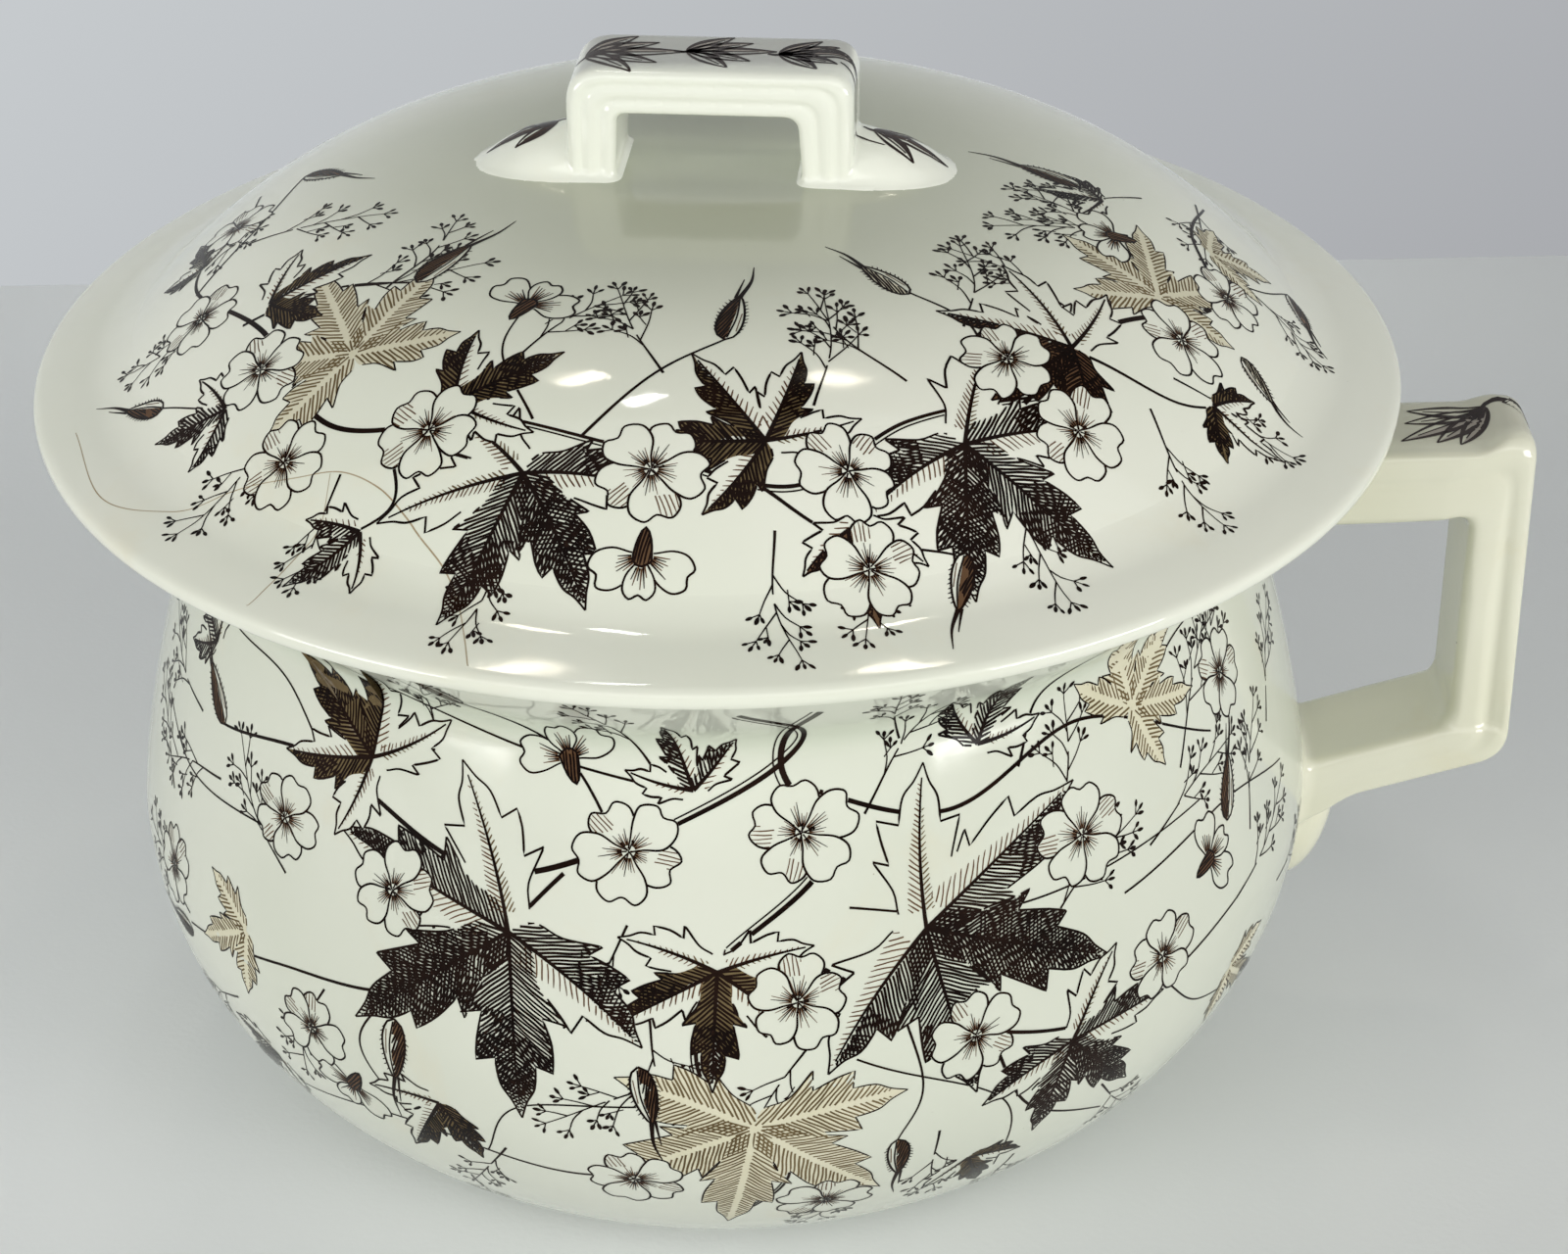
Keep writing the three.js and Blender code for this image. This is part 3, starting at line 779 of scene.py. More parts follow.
class Drawing:
    """Strokes (points, widths, tone), fills (polygon, tone) and masks, in mm. What was drawn
    before is cut away under its masks."""

    def __init__(self, *masks):
        self.strokes, self.fills, self.masks = [], [], masks

    def stroke(self, points, width, tone="dark"):
        points = np.asarray(points, float)
        self.strokes.append((points, spread(width, len(points)), tone))

    def line(self, points, width, tone="dark"):
        self.stroke(smooth_curve(points), width, tone)

    def closed(self, polygon, width):
        self.stroke(np.concatenate([polygon, polygon[:1]]), width)

    def dot(self, at, angle, length, width):
        run = np.linspace(-0.5, 0.5, 5)[:, None] * length * np.array([math.cos(angle), math.sin(angle)])
        self.stroke(np.array(at) + run, [share * width for share in (0.35, 0.85, 1, 0.85, 0.35)])

    def hatch(self, polygon, angle, pitch, width, tone, rng, reach=None):
        """Parallel strokes inside a polygon. reach(points) says where they are drawn."""
        along = np.array([math.cos(angle), math.sin(angle)])
        across = np.array([-along[1], along[0]])
        u, v = polygon @ along, polygon @ across
        level = v.min() + pitch * rng.random()
        step = 0.3
        while level < v.max():
            run = np.arange(u.min(), u.max() + step, step) + step * rng.random()
            wave = level + 0.12 * pitch * np.sin(run * 0.9 + 7 * rng.random())
            points = run[:, None] * along + wave[:, None] * across
            drawn = inside(points, polygon)
            if reach is not None:
                drawn &= reach(points)
            for start, stop in shown_runs(drawn, 3):
                keep = thinned(start, stop, 4)
                widths = np.full(len(keep), width * (0.85 + 0.3 * rng.random()))
                widths[-1] *= 0.5
                self.stroke(points[keep], widths, tone)
            level += pitch * (0.88 + 0.24 * rng.random())


def lobe_margin(length, wide, sign, rng):
    """One toothed margin of a lobe that points along +X, from its base to its tip."""
    def near(value, share=0.06):
        return value * (1 + share * (rng.random() - 0.5))

    first, second = near(0.47), near(0.72)
    runs = [
        smooth_curve([(0, 0.02), (0.1, 0.5), (0.28, near(0.62)), (first, near(1.08, 0.2))], 0.04),
        smooth_curve([(first - 0.03, near(0.66)), (near(0.6), near(0.8)), (second, near(0.84, 0.2))], 0.04),
        smooth_curve([(second - 0.03, near(0.44)), (0.84, near(0.38)), (0.94, 0.16), (1.05, 0)], 0.04)]
    return np.concatenate(runs) * (length, sign * wide)


class Lobe:
    """One lobe of a leaf. side goes from -1 to 1 over the leaf's lobes."""

    def __init__(self, size, tone, side, open_by, rng):
        self.size, self.tone, self.pale = size, tone, tone == "tan"
        self.length = size * (0.62 - 0.15 * abs(side) ** 1.5 + 0.04 * (rng.random() - 0.5))
        self.angle = math.pi / 2 - side * math.radians(open_by)
        self.curl = 0.3 * side + 0.16 * (rng.random() - 0.5)
        self.margins = [lobe_margin(self.length, size * LOBE_WIDTH, sign, rng) for sign in (1, -1)]
        self.shape = self.laid(np.concatenate([self.margins[0], self.margins[1][::-1]]))

    def laid(self, points):
        """Bends points by the lobe's curl and turns them to its place."""
        points = np.asarray(points, float)
        bent = points[:, 0] / self.length * self.curl
        x = points[:, 0] - points[:, 1] * np.sin(bent)
        y = points[:, 1] * np.cos(bent) + self.curl * points[:, 0] ** 2 / self.length / 2
        return rotated(np.stack([x, y], 1), self.angle)

    def outline(self, made, others):
        """Its margins and its rib, without what lies under the other lobes."""
        for margin in self.margins:
            points = self.laid(margin)
            shown = self.past(points, 0.2)
            for other in others:
                shown &= ~inside(points, other)
            for start, stop in shown_runs(shown, 2):
                made.stroke(points[start:stop], PALE_LINE if self.pale else LEAF_LINE)
        if not self.pale:
            rib = np.stack([np.linspace(0, self.length * 0.96, 14), np.zeros(14)], 1)
            made.stroke(self.laid(rib), [0.8, 0.3])

    def past(self, points, least):
        return np.hypot(points[:, 0], points[:, 1]) > least * self.length

    def off_rib(self, points):
        flat = rotated(points, -self.angle)
        return np.abs(flat[:, 1] - self.curl * flat[:, 0] ** 2 / self.length / 2)

    def by_rib(self, reach):
        def near(points):
            out = rotated(points, -self.angle)[:, 0] / self.length
            return (self.off_rib(points) < reach * self.size * (1.15 - out)) & (out > 0.12)
        return near

    def blots(self, least, place):
        """Most of the lobe past a share of its length, in blots."""
        def drawn(points):
            wave = np.sin(points[:, 0] * 0.9 + place * 7) + np.sin(points[:, 1] * 1.1 + place * 5)
            return self.past(points, least) & (wave > -0.9)
        return drawn

    def shade(self, made, sign, ground, rng):
        """Hatches the side of the rib that sign names."""
        margin = self.margins[0 if sign > 0 else 1]
        half = self.laid(np.concatenate([margin, [(self.length * 0.5, 0), (0, 0)]]))
        slant = self.angle + self.curl * 0.6 + sign * math.radians(44 + 8 * rng.random())
        if self.pale:
            made.hatch(half, slant, 0.74, 0.36, "tan", rng, lambda points: self.off_rib(points) > 0.5)
        elif self.tone in ("dark", "deep") or (self.tone, sign) in (("half", 1), ("flip", -1)):
            made.hatch(half, slant, 0.64, 0.44, "dark", rng)
            edge = 0.1 if self.tone == "deep" else 0.3 + 0.3 * rng.random()
            finer = slant - sign * math.radians(22)
            crossing = slant + sign * math.radians(64)
            made.hatch(half, finer, 0.6, 0.38, "dark", rng, self.blots(edge, edge))
            made.hatch(half, crossing, 0.74, 0.36, "dark", rng, self.blots(edge + 0.15, edge + 2))
            if ground:
                made.fills.append((half, ground))
        elif self.tone in ("half", "flip"):
            made.hatch(half, slant, 0.95, 0.26, "brown", rng, self.by_rib(0.075))
        else:
            tint, reach = ("brown", 0.05) if sign > 0 else ("tan", 0.035)
            made.hatch(half, slant, 0.75, 0.28, tint, rng, self.by_rib(reach))


def leaf(size, seed, tones, ground=""):
    """A leaf of pointed, toothed lobes round its stalk's end, one tone word for each lobe:
    deep and dark are hatched all over, half and flip on one side, open hardly at all, and
    tan is pale all over. ground is the ink under the dark hatching."""
    rng = random.Random(seed)
    tones = tones.split()
    last = len(tones) - 1
    open_by = 64 if last < 4 else 116
    sides = [(i - last / 2) / max(last / 2, 1) for i in range(last + 1)]
    lobes = [Lobe(size, tone, side, open_by, rng) for tone, side in zip(tones, sides)]
    made = Drawing(*(lobe.shape for lobe in lobes))
    for lobe in lobes:
        lobe.outline(made, [other.shape for other in lobes if other is not lobe])
        for sign in (1, -1):
            lobe.shade(made, sign, ground, rng)
        if lobe.pale:
            made.fills.append((lobe.shape, "wash"))
    return made


def petal(length, rng):
    """Outline of one petal that points along +X, broad and notched at its end."""
    def near(value):
        return value * (1 + 0.14 * (rng.random() - 0.5))

    notch = 0.9 - 0.06 * rng.random()
    half = [(0, 0.02), (0.2, 0.16), (0.46, near(0.38)), (0.74, near(0.44)), (0.95, near(0.26))]
    other = [(0.97, -near(0.2)), (0.78, -near(0.42)), (0.46, -near(0.38)), (0.2, -0.16), (0, -0.02)]
    return smooth_curve([(x * length, y * length) for x, y in half + [(notch, near(0.03))] + other], 0.6)


def flower(radius, seed, lean=1.0, tilt=0.0):
    """An open blossom of five petals that overlap in turn, the lowest two shaded,
    foreshortened by lean across the direction tilt."""
    rng = random.Random(seed)
    made = []
    turn = 6.3 * rng.random()
    order = list(range(5))
    rng.shuffle(order)

    def laid(points, angle):
        return rotated(rotated(points, angle - tilt) * (1, lean), tilt)

    for place, k in enumerate(order):
        angle = turn + k * 2 * math.pi / 5 + 0.14 * (rng.random() - 0.5)
        length = radius * (0.93 + 0.12 * rng.random())
        outline = laid(petal(length, rng), angle)
        one = Drawing(outline)
        one.closed(outline, PETAL_LINE)
        for i in range(7):
            off = (i - 3) / 3 * 0.42 + 0.05 * (rng.random() - 0.5)
            stop = length * (0.34 + 0.26 * rng.random() - 0.2 * abs(off))
            run = laid([[0.12 * length, 0], [stop / 2, 0], [stop, 0]], angle + off)
            one.stroke(run, [0.3, 0.22, 0.1], "dark" if i % 2 else "brown")
        if place < 2:
            def shaded(points, angle=angle, length=length):
                flat = rotated(rotated(points, -tilt) / (1, lean), tilt - angle)
                return (flat[:, 0] > 0.5 * length) & (flat[:, 1] > 0.02 * length)
            one.hatch(outline, angle + 0.25, 0.75, 0.22, "brown", rng, shaded)
        made.append(one)
    heart = Drawing()
    for i in range(6):
        angle = i * 1.05 + rng.random() * 0.5
        out = radius * (0.13 + 0.07 * rng.random())
        heart.stroke(laid([[0.3, 0], [out, 0]], angle), [0.3, 0.25])
        heart.dot(laid([[out * 1.1, 0]], angle)[0], angle, 0.55, 0.5)
    return made + [heart]


def side_flower(radius, seed):
    """A blossom on +Y seen from the side: three petals over a dark cup."""
    rng = random.Random(seed)
    made = []
    for degrees, share in ((158, 1.0), (24, 1.02), (88, 0.82)):
        angle = math.radians(degrees)
        outline = rotated(petal(radius * share, rng) * (1, 0.85), angle)
        one = Drawing(outline)
        one.closed(outline, [0.28, 0.42, 0.3])
        for i in range(6):
            run = [[0.12 * radius, 0], [radius * (0.4 + 0.25 * rng.random()), 0]]
            one.stroke(rotated(run, angle + (i - 2.5) * 0.13), [0.4, 0.14], "brown" if i % 2 else "dark")
        made.append(one)
    rim = [(-0.17, 0.1), (0, 0.2), (0.17, 0.1), (0.12, -0.28), (0, -0.5), (-0.12, -0.28), (-0.17, 0.1)]
    shape = smooth_curve(rim, 0.12)[:-1] * radius
    cup = Drawing(shape)
    cup.fills.append((shape, "brown"))
    cup.closed(shape, 0.42)
    cup.hatch(shape, math.radians(80), 0.6, 0.36, "dark", rng)
    return made + [cup]


def bud(length, seed, ground="brown"):
    """A slender bud on +Y with a long split tip and fine hairs."""
    rng = random.Random(seed)
    wide, body = length * 0.105, length * 0.56
    t = np.linspace(0, 1, 14)
    width = wide * np.sin(t ** 0.7 * math.pi) ** 0.7
    left, right = np.stack([-width, t * body], 1), np.stack([width * 0.9, t * body], 1)
    shape = np.concatenate([left, right[::-1][1:-1]])
    made = Drawing(shape)
    made.closed(shape, 0.42)
    half = np.concatenate([left, [(0.15 * wide, body * 0.6), (0.1 * wide, body * 0.2)]])
    made.hatch(half, math.radians(72), 0.5, 0.36, "dark", rng)
    made.fills.append((half, ground))
    made.line([(0.1 * wide, body * 0.05), (0.3 * wide, body * 0.5), (0, body)], 0.32)
    made.line([(0.6 * wide, body * 0.2), (0.6 * wide, body * 0.6)], 0.2, "brown")
    made.line([(0, body * 0.96), (0.35 * wide, length * 0.78), (0.1 * wide, length)], [0.9, 0.55, 0.16])
    made.line([(-0.3 * wide, body * 0.94), (-0.2 * wide, length * 0.8)], [0.6, 0.18])
    for i in range(2, 12):
        for side, sign in ((left, -1), (right, 1)):
            tick = side[i] + np.array([sign * (0.4 + 0.35 * rng.random()), 0.5])
            made.stroke([side[i], tick], [0.28, 0.14])
    return made


def sprig(length, seed):
    """A seed sprig along +Y: a thin stem with six short branches that end in grains."""
    rng = random.Random(seed)
    made = Drawing()
    sway = (rng.random() - 0.5) * 0.28 * length
    stem = smooth_curve([(0, 0), (sway, length * 0.5), (sway * 0.4, length)])
    gap = int(len(stem) * (0.3 + 0.4 * rng.random()))
    made.stroke(stem[:gap], [0.5, 0.3])
    made.stroke(stem[gap + 1:], [0.3, 0.2])

    def grains(at, angle, size):
        for k in (-0.8, 0.05, 0.8):
            turn = angle + k * (0.8 + 0.3 * rng.random())
            out = at + rotated([[size * (1.2 + 0.9 * rng.random()), 0]], turn)[0]
            made.stroke([at, out], [0.26, 0.2])
            made.dot(out, turn, 1.1 + 0.5 * rng.random(), 0.6 + 0.25 * rng.random())

    for k in range(6):
        share = 0.28 + 0.62 * k / 6 + 0.04 * rng.random()
        at = stem[int(share * (len(stem) - 1))]
        sign = 1 if k % 2 else -1
        angle = math.pi / 2 - sign * math.radians(30 + 16 * rng.random())
        reach = length * (0.36 - 0.22 * share) * (0.75 + 0.5 * rng.random())
        end = at + rotated([[reach, 0]], angle)[0]
        made.line([at, (at + end) / 2 + (0.07 * reach, 0.05 * reach), end], [0.32, 0.22])
        grains(end, angle, 1.0)
        if reach > 6:
            half = (at + end) / 2
            side = half + rotated([[reach * 0.3, 0]], angle + sign * 0.7)[0]
            made.line([half, side], 0.22)
            grains(side, angle, 0.8)
    grains(stem[-1], math.pi / 2, 1.1)
    return made


class Field:
    """Drawings in a flat plane of mm that place(points) lays on a surface. Later ones
    cover earlier ones. local(points, at) moves a drawing's points to its place."""

    def __init__(self, name, place, body, local=lambda points, at: points + at):
        self.name, self.place, self.body, self.local = name, place, body, local
        self.laid = []

    def put(self, drawings, at, turn=0.0):
        """Adds drawings on top of what is there, turned by degrees about their origin."""
        def moved(points):
            return self.local(rotated(points, math.radians(turn)), np.array(at, float))

        for one in drawings if isinstance(drawings, list) else [drawings]:
            self.laid.append((
                [(moved(points), widths, tone) for points, widths, tone in one.strokes],
                [(moved(polygon), tone) for polygon, tone in one.fills],
                [moved(mask) for mask in one.masks]))

    def stem(self, points, width, tone="dark"):
        """A stem; a thick one has a shaded and a light side."""
        one = Drawing()
        line = smooth_curve(points)
        if max(width) < 1.15:
            one.stroke(line, width, tone)
        else:
            side = left_of(headings(line)) * spread(width, len(line))[:, None]
            one.stroke(line + side * 0.34, [0.62 * w for w in width], tone)
            one.stroke(line - side * 0.42, [0.3], tone)
        self.laid.append((one.strokes, [], []))

    def make(self, palette):
        """Cuts away what lies under later drawings and makes one piece for each ink."""
        flat = [row[0] for strokes, fills, _ in self.laid for row in strokes + fills]
        low, high = np.min([p.min(0) for p in flat], 0), np.max([p.max(0) for p in flat], 0)
        ribbons = {tone: [] for tone in palette}
        patches = {tone: [] for tone in palette}
        for k, (strokes, fills, _) in enumerate(self.laid):
            drawn = np.concatenate([points for points, _, _ in strokes])
            above = overlapping([mask for laid in self.laid[k + 1:] for mask in laid[2]], drawn)
            for points, widths, tone in cut_strokes(strokes, above):
                ribbons[tone].append((points, widths))
            for polygon, tone in fills:
                patches[tone].append(filled(polygon, overlapping(above, polygon)))
        for tone, (material, lift) in palette.items():
            if ribbons[tone] or any(len(points) for points, _ in patches[tone]):
                flat, faces = sheet(ribbons[tone], patches[tone])
                self.piece(tone, flat, faces, (flat - low) / (high - low).max(), material, lift)

    def piece(self, tone, flat, faces, spots, material, lift):
        """Lays a flat sheet on the surface, with spots as its map for baking."""
        place, normal = self.place(flat)
        made = mesh_object(f"{self.name}_{tone}", place + normal * lift, faces, material)
        corners = np.empty(len(made.data.loops), np.int32)
        made.data.loops.foreach_get("vertex_index", corners)
        flat_map(made, spots[corners])
        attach(made, self.body)


def overlapping(masks, points):
    """The masks whose box meets the box round points."""
    low, high = points.min(0), points.max(0)
    return [mask for mask in masks if (mask.min(0) < high).all() and (mask.max(0) > low).all()]


def sheet(ribbons, patches):
    """Flat points and faces of ribbons (points, widths) and patches (points, triangles)."""
    flat, faces, count = [], [], 0
    for points, widths in ribbons:
        side = left_of(headings(points)) * widths[:, None] / 2
        flat += [points - side, points + side]
        n = len(points)
        faces += [(count + i, count + i + 1, count + i + n + 1, count + i + n) for i in range(n - 1)]
        count += 2 * n
    for points, corners in patches:
        flat.append(points)
        faces += [tuple(face) for face in (corners + count).tolist()]
        count += len(points)
    return np.concatenate(flat), faces


def cut_strokes(strokes, above):
    """The parts of strokes that later drawings leave in sight."""
    if not above:
        return strokes
    step = 0.35
    fine = []
    for points, widths, tone in strokes:
        run = run_of(points)
        count = max(int(run[-1] / step), 1)
        at = np.union1d(np.linspace(0, run[-1], count + 1), run)
        x, y, wide = (np.interp(at, run, values) for values in (*points.T, widths))
        fine.append((np.stack([x, y], 1), wide, tone))
    every = np.concatenate([points for points, _, _ in fine])
    hidden = np.zeros(len(every), bool)
    for mask in above:
        near = ((every > mask.min(0)) & (every < mask.max(0))).all(1) & ~hidden
        if near.any():
            hidden[near] = inside(every[near], mask)
    out, count = [], 0
    for (points, widths, tone), whole in zip(fine, strokes):
        gone = hidden[count:count + len(points)]
        count += len(points)
        if not gone.any():
            out.append(whole)
            continue
        for start, stop in shown_runs(~gone, 3):
            keep = thinned(start, stop, 2)
            out.append((points[keep], widths[keep], tone))
    return out


def filled(polygon, over):
    """Points and triangles of a polygon, less the masks that lie over it."""
    step = 2.2
    sides = (np.arange(low, high, step) for low, high in zip(polygon.min(0), polygon.max(0)))
    grid = np.stack(np.meshgrid(*sides), 2).reshape(-1, 2)
    grid = grid[inside(grid, polygon)] if len(grid) else grid
    points, edges = [], []
    for ring in [polygon, *over]:
        n, base = len(ring), len(points)
        points += ring.tolist()
        edges += [(base + i, base + (i + 1) % n) for i in range(n)]
    points += grid.tolist()
    verts, _, faces, *_ = geometry.delaunay_2d_cdt([Vector(p) for p in points], edges, [], 0, 1e-6)
    verts = np.array([tuple(v) for v in verts])
    faces = np.array([f for f in faces if len(f) == 3], np.int32)
    if not len(faces):
        return np.empty((0, 2)), np.empty((0, 3), np.int32)
    middle = verts[faces].mean(1)
    keep = inside(middle, polygon)
    for ring in over:
        keep &= ~inside(middle, ring)
    faces = faces[keep]
    a, b, c = (verts[faces[:, k]] for k in range(3))
    area = (b[:, 0] - a[:, 0]) * (c[:, 1] - a[:, 1]) - (b[:, 1] - a[:, 1]) * (c[:, 0] - a[:, 0])
    faces = np.where((area < 0)[:, None], faces[:, ::-1], faces)[np.abs(area) > 1e-6]
    used, faces = np.unique(faces, return_inverse=True)
    return verts[used], faces.reshape(-1, 3)


def on_surface(outline, run, at, turn, lift):
    """Places and normals at lengths along an outline and angles about the axis."""
    along = headings(outline)
    radius, height, across, up = (
        np.interp(at, run, values) for values in (*outline.T, along[:, 1], -along[:, 0]))
    cos, sin = np.cos(turn), np.sin(turn)
    place = np.stack([radius * cos, radius * sin, height + lift], 1)
    normal = np.stack([across * cos, across * sin, up], 1)
    return place, normal / np.linalg.norm(normal, axis=1)[:, None]


def on_pot(front):
    """Places for a pot field: x runs round the belly in mm from the middle of the
    field, which faces front degrees about the axis, and -y down from the rim."""
    def place(points):
        turn = math.radians(front) + points[:, 0] / BELLY_RADIUS
        return on_surface(OUTSIDE, POT_RUN, POT_RUN[-1] + points[:, 1], turn, 0)
    return place


def pot_local(points, at):
    """Keeps a drawing's shape where the pot is narrower than its belly."""
    y = at[1] + points[:, 1]
    radius = np.interp(POT_RUN[-1] + y, POT_RUN, OUTSIDE[:, 0])
    return np.stack([at[0] + points[:, 0] * BELLY_RADIUS / radius, y], 1)


def on_cover(turned):
    """Places for a cover field: a plane as seen from above, with true lengths
    from the middle outwards, turned by degrees about the axis."""
    def place(points):
        out = np.hypot(points[:, 0], points[:, 1])
        turn = np.arctan2(points[:, 1], points[:, 0]) + math.radians(turned)
        return on_surface(COVER_TOP, COVER_RUN, COVER_RUN[-1] - out, turn, SEAT_HEIGHT)
    return place


def on_ring(turn, out):
    """A place on the cover: degrees from the front, and mm from the middle."""
    return out * math.sin(math.radians(turn)), -out * math.cos(math.radians(turn))


def on_belly(turn, down):
    """A place on the pot: degrees from the middle of a field, and mm down from the rim."""
    return math.radians(turn) * BELLY_RADIUS, -down


def compose(field, place, stems, groups, seed):
    """Draws stems, then the rows of each group: degrees, place out or down, degrees to
    turn, size and what else its kind needs. On the cover a drawing also turns with its place."""
    for width, *points in stems:
        field.stem([place(*point) for point in points], width)
    rows = [(kind, row) for kind, *group in groups for row in group]
    for number, (kind, (at, out, turn, size, *rest)) in enumerate(rows, seed):
        made = kind(size, number, *rest)
        field.put(made, place(at, out), turn + (at if place is on_ring else 0))


# The print's layout: stems are widths and then places, drawings a kind and then its rows
FIVE_TAN = "tan " * 5
THREE_TAN = "tan " * 3

COVER_STEMS = [
    ([0.5, 1.0, 0.9], (-97, 90), (-82, 98), (-62, 90), (-42, 97), (-22, 86)),
    ([0.9, 1.2, 0.9], (-24, 87), (-8, 90), (8, 97), (22, 88), (38, 90)),
    ([0.9, 1.1, 0.5], (36, 90), (54, 84), (72, 95), (86, 88), (98, 94)),
    ([0.7, 0.5], (-66, 92), (-60, 76), (-50, 66)), ([0.7, 0.4], (-36, 94), (-31, 106), (-36, 117)),
    ([0.6, 0.4], (-14, 88), (-7, 74), (2, 66)), ([0.7, 0.4], (4, 95), (12, 106), (22, 112)),
    ([0.6, 0.4], (32, 88), (37, 73), (33, 60)), ([0.7, 0.4], (48, 87), (54, 102), (62, 110)),
    ([0.6, 0.4], (66, 90), (74, 74), (86, 66)), ([0.6, 0.4], (-80, 98), (-88, 84), (-100, 78)),
    ([0.5, 0.3], (-20, 86), (-28, 74), (-30, 62)), ([0.5, 0.3], (78, 92), (84, 104), (90, 112)),
    ([0.5, 0.3], (-54, 92), (-58, 104), (-66, 112))]

COVER_DRAWINGS = [
    (sprig, (-100, 88, -95, 26), (-84, 86, -20, 28), (-72, 96, 150, 22), (-62, 78, -30, 30),
     (-53, 70, 26, 22), (-46, 100, 166, 27), (-38, 104, 196, 22), (-26, 76, -26, 24), (-20, 104, 176, 24),
     (-6, 74, 24, 24), (6, 104, 188, 24), (12, 82, -14, 26), (16, 104, 158, 22), (24, 80, 12, 26),
     (28, 100, 186, 26), (36, 72, -34, 24), (50, 100, 170, 24), (56, 98, 204, 26), (52, 78, 8, 24),
     (70, 80, -16, 28), (76, 76, 30, 26), (82, 100, 160, 20), (98, 92, 80, 26), (90, 78, 20, 24)),
    (leaf, (-47, 84, 62, 40, FIVE_TAN), (66, 86, -60, 34, FIVE_TAN), (-86, 96, 100, 24, "half dark open"),
     (84, 92, -150, 26, THREE_TAN), (-19, 96, 168, 46, "half deep dark open open"),
     (27, 94, 214, 48, "open half dark deep flip"), (6, 88, 30, 34, "half dark half flip open", "tan"),
     (-66, 86, -12, 30, "open half dark", "tan"), (47, 84, 38, 36, "dark deep half open open", "brown"),
     (-33, 112, 150, 24, "open dark half"), (58, 106, 196, 24, "half open dark", "tan"),
     (84, 70, 10, 20, "open half dark"), (-30, 86, -40, 32, "half dark open", "tan"),
     (14, 104, 176, 28, "open dark half", "brown"), (-57, 104, 140, 26, "half dark open")),
    (bud, (-50, 66, 8, 24), (2, 66, -14, 22), (33, 61, 12, 20, "wash"), (23, 112, 150, 20),
     (87, 66, -20, 22), (-66, 112, 120, 20), (-100, 78, -30, 20), (90, 112, 110, 20),
     (68, 104, 160, 18, "wash")),
    (side_flower, (-30, 62, -8, 9), (-6, 108, 178, 9.5), (74, 74, 30, 8.5)),
    (flower, (-74, 98, 0, 9, 0.9, 1.0), (-57, 95, 0, 9.5, 0.92, 0.4), (-45, 106, 0, 9),
     (-31, 92, 0, 9.5, 0.9, 1.2), (-6, 93, 0, 9.8, 0.95, 0.2), (14, 95, 0, 9.2, 0.9, 2.0),
     (14, 112, 0, 9), (40, 98, 0, 9.6, 0.92, 0.7), (38, 81, 0, 9.2, 0.88, 0.3),
     (62, 94, 0, 9.3, 0.9, 1.4), (76, 97, 0, 8.8, 0.9, 0.1), (-92, 90, 0, 8.6, 0.85, 1.1))]

POT_STEMS = [
    ([2.1, 1.8, 1.3], (9, 12), (6, 30), (10, 46), (1, 62)),
    ([1.3, 1.0, 0.7], (1, 62), (-2, 84), (6, 108), (1, 128)),
    ([1.9, 1.5, 1.2], (2, 12), (8, 26), (-7, 43)),
    ([1.1, 0.9, 0.5], (-7, 43), (-22, 52), (-40, 42), (-57, 48)),
    ([0.5, 0.35], (-4, 34), (-22, 28), (-40, 20)), ([0.45, 0.3], (12, 56), (28, 62), (52, 60)),
    ([0.4, 0.3], (-6, 92), (-18, 96), (-22, 110)), ([0.4, 0.3], (-48, 60), (-62, 62), (-72, 56)),
    ([0.45, 0.3], (40, 68), (56, 64), (70, 70)), ([0.4, 0.3], (12, 84), (26, 100), (28, 124)),
    ([0.9, 0.7, 0.4], (8, 34), (22, 42), (38, 34), (56, 50)),
    ([0.8, 0.6, 0.4], (-14, 50), (-27, 76), (-44, 84), (-60, 92)),
    ([0.9, 0.7, 0.4], (9, 66), (22, 82), (38, 90), (56, 84)),
    ([0.7, 0.5, 0.3], (6, 98), (-12, 112), (-30, 108), (-46, 116)),
    ([0.7, 0.4], (24, 83), (29, 104), (40, 118)), ([0.6, 0.4], (-8, 47), (-14, 30), (-24, 20)),
    ([0.6, 0.4], (30, 38), (34, 26), (44, 18)), ([0.5, 0.3], (44, 40), (52, 30), (62, 26)),
    ([0.5, 0.3], (-40, 43), (-48, 32), (-58, 30)), ([0.5, 0.3], (-30, 78), (-34, 92), (-30, 106)),
    ([0.5, 0.3], (16, 74), (18, 92), (16, 104)), ([0.4, 0.3], (44, 89), (50, 100), (60, 106))]

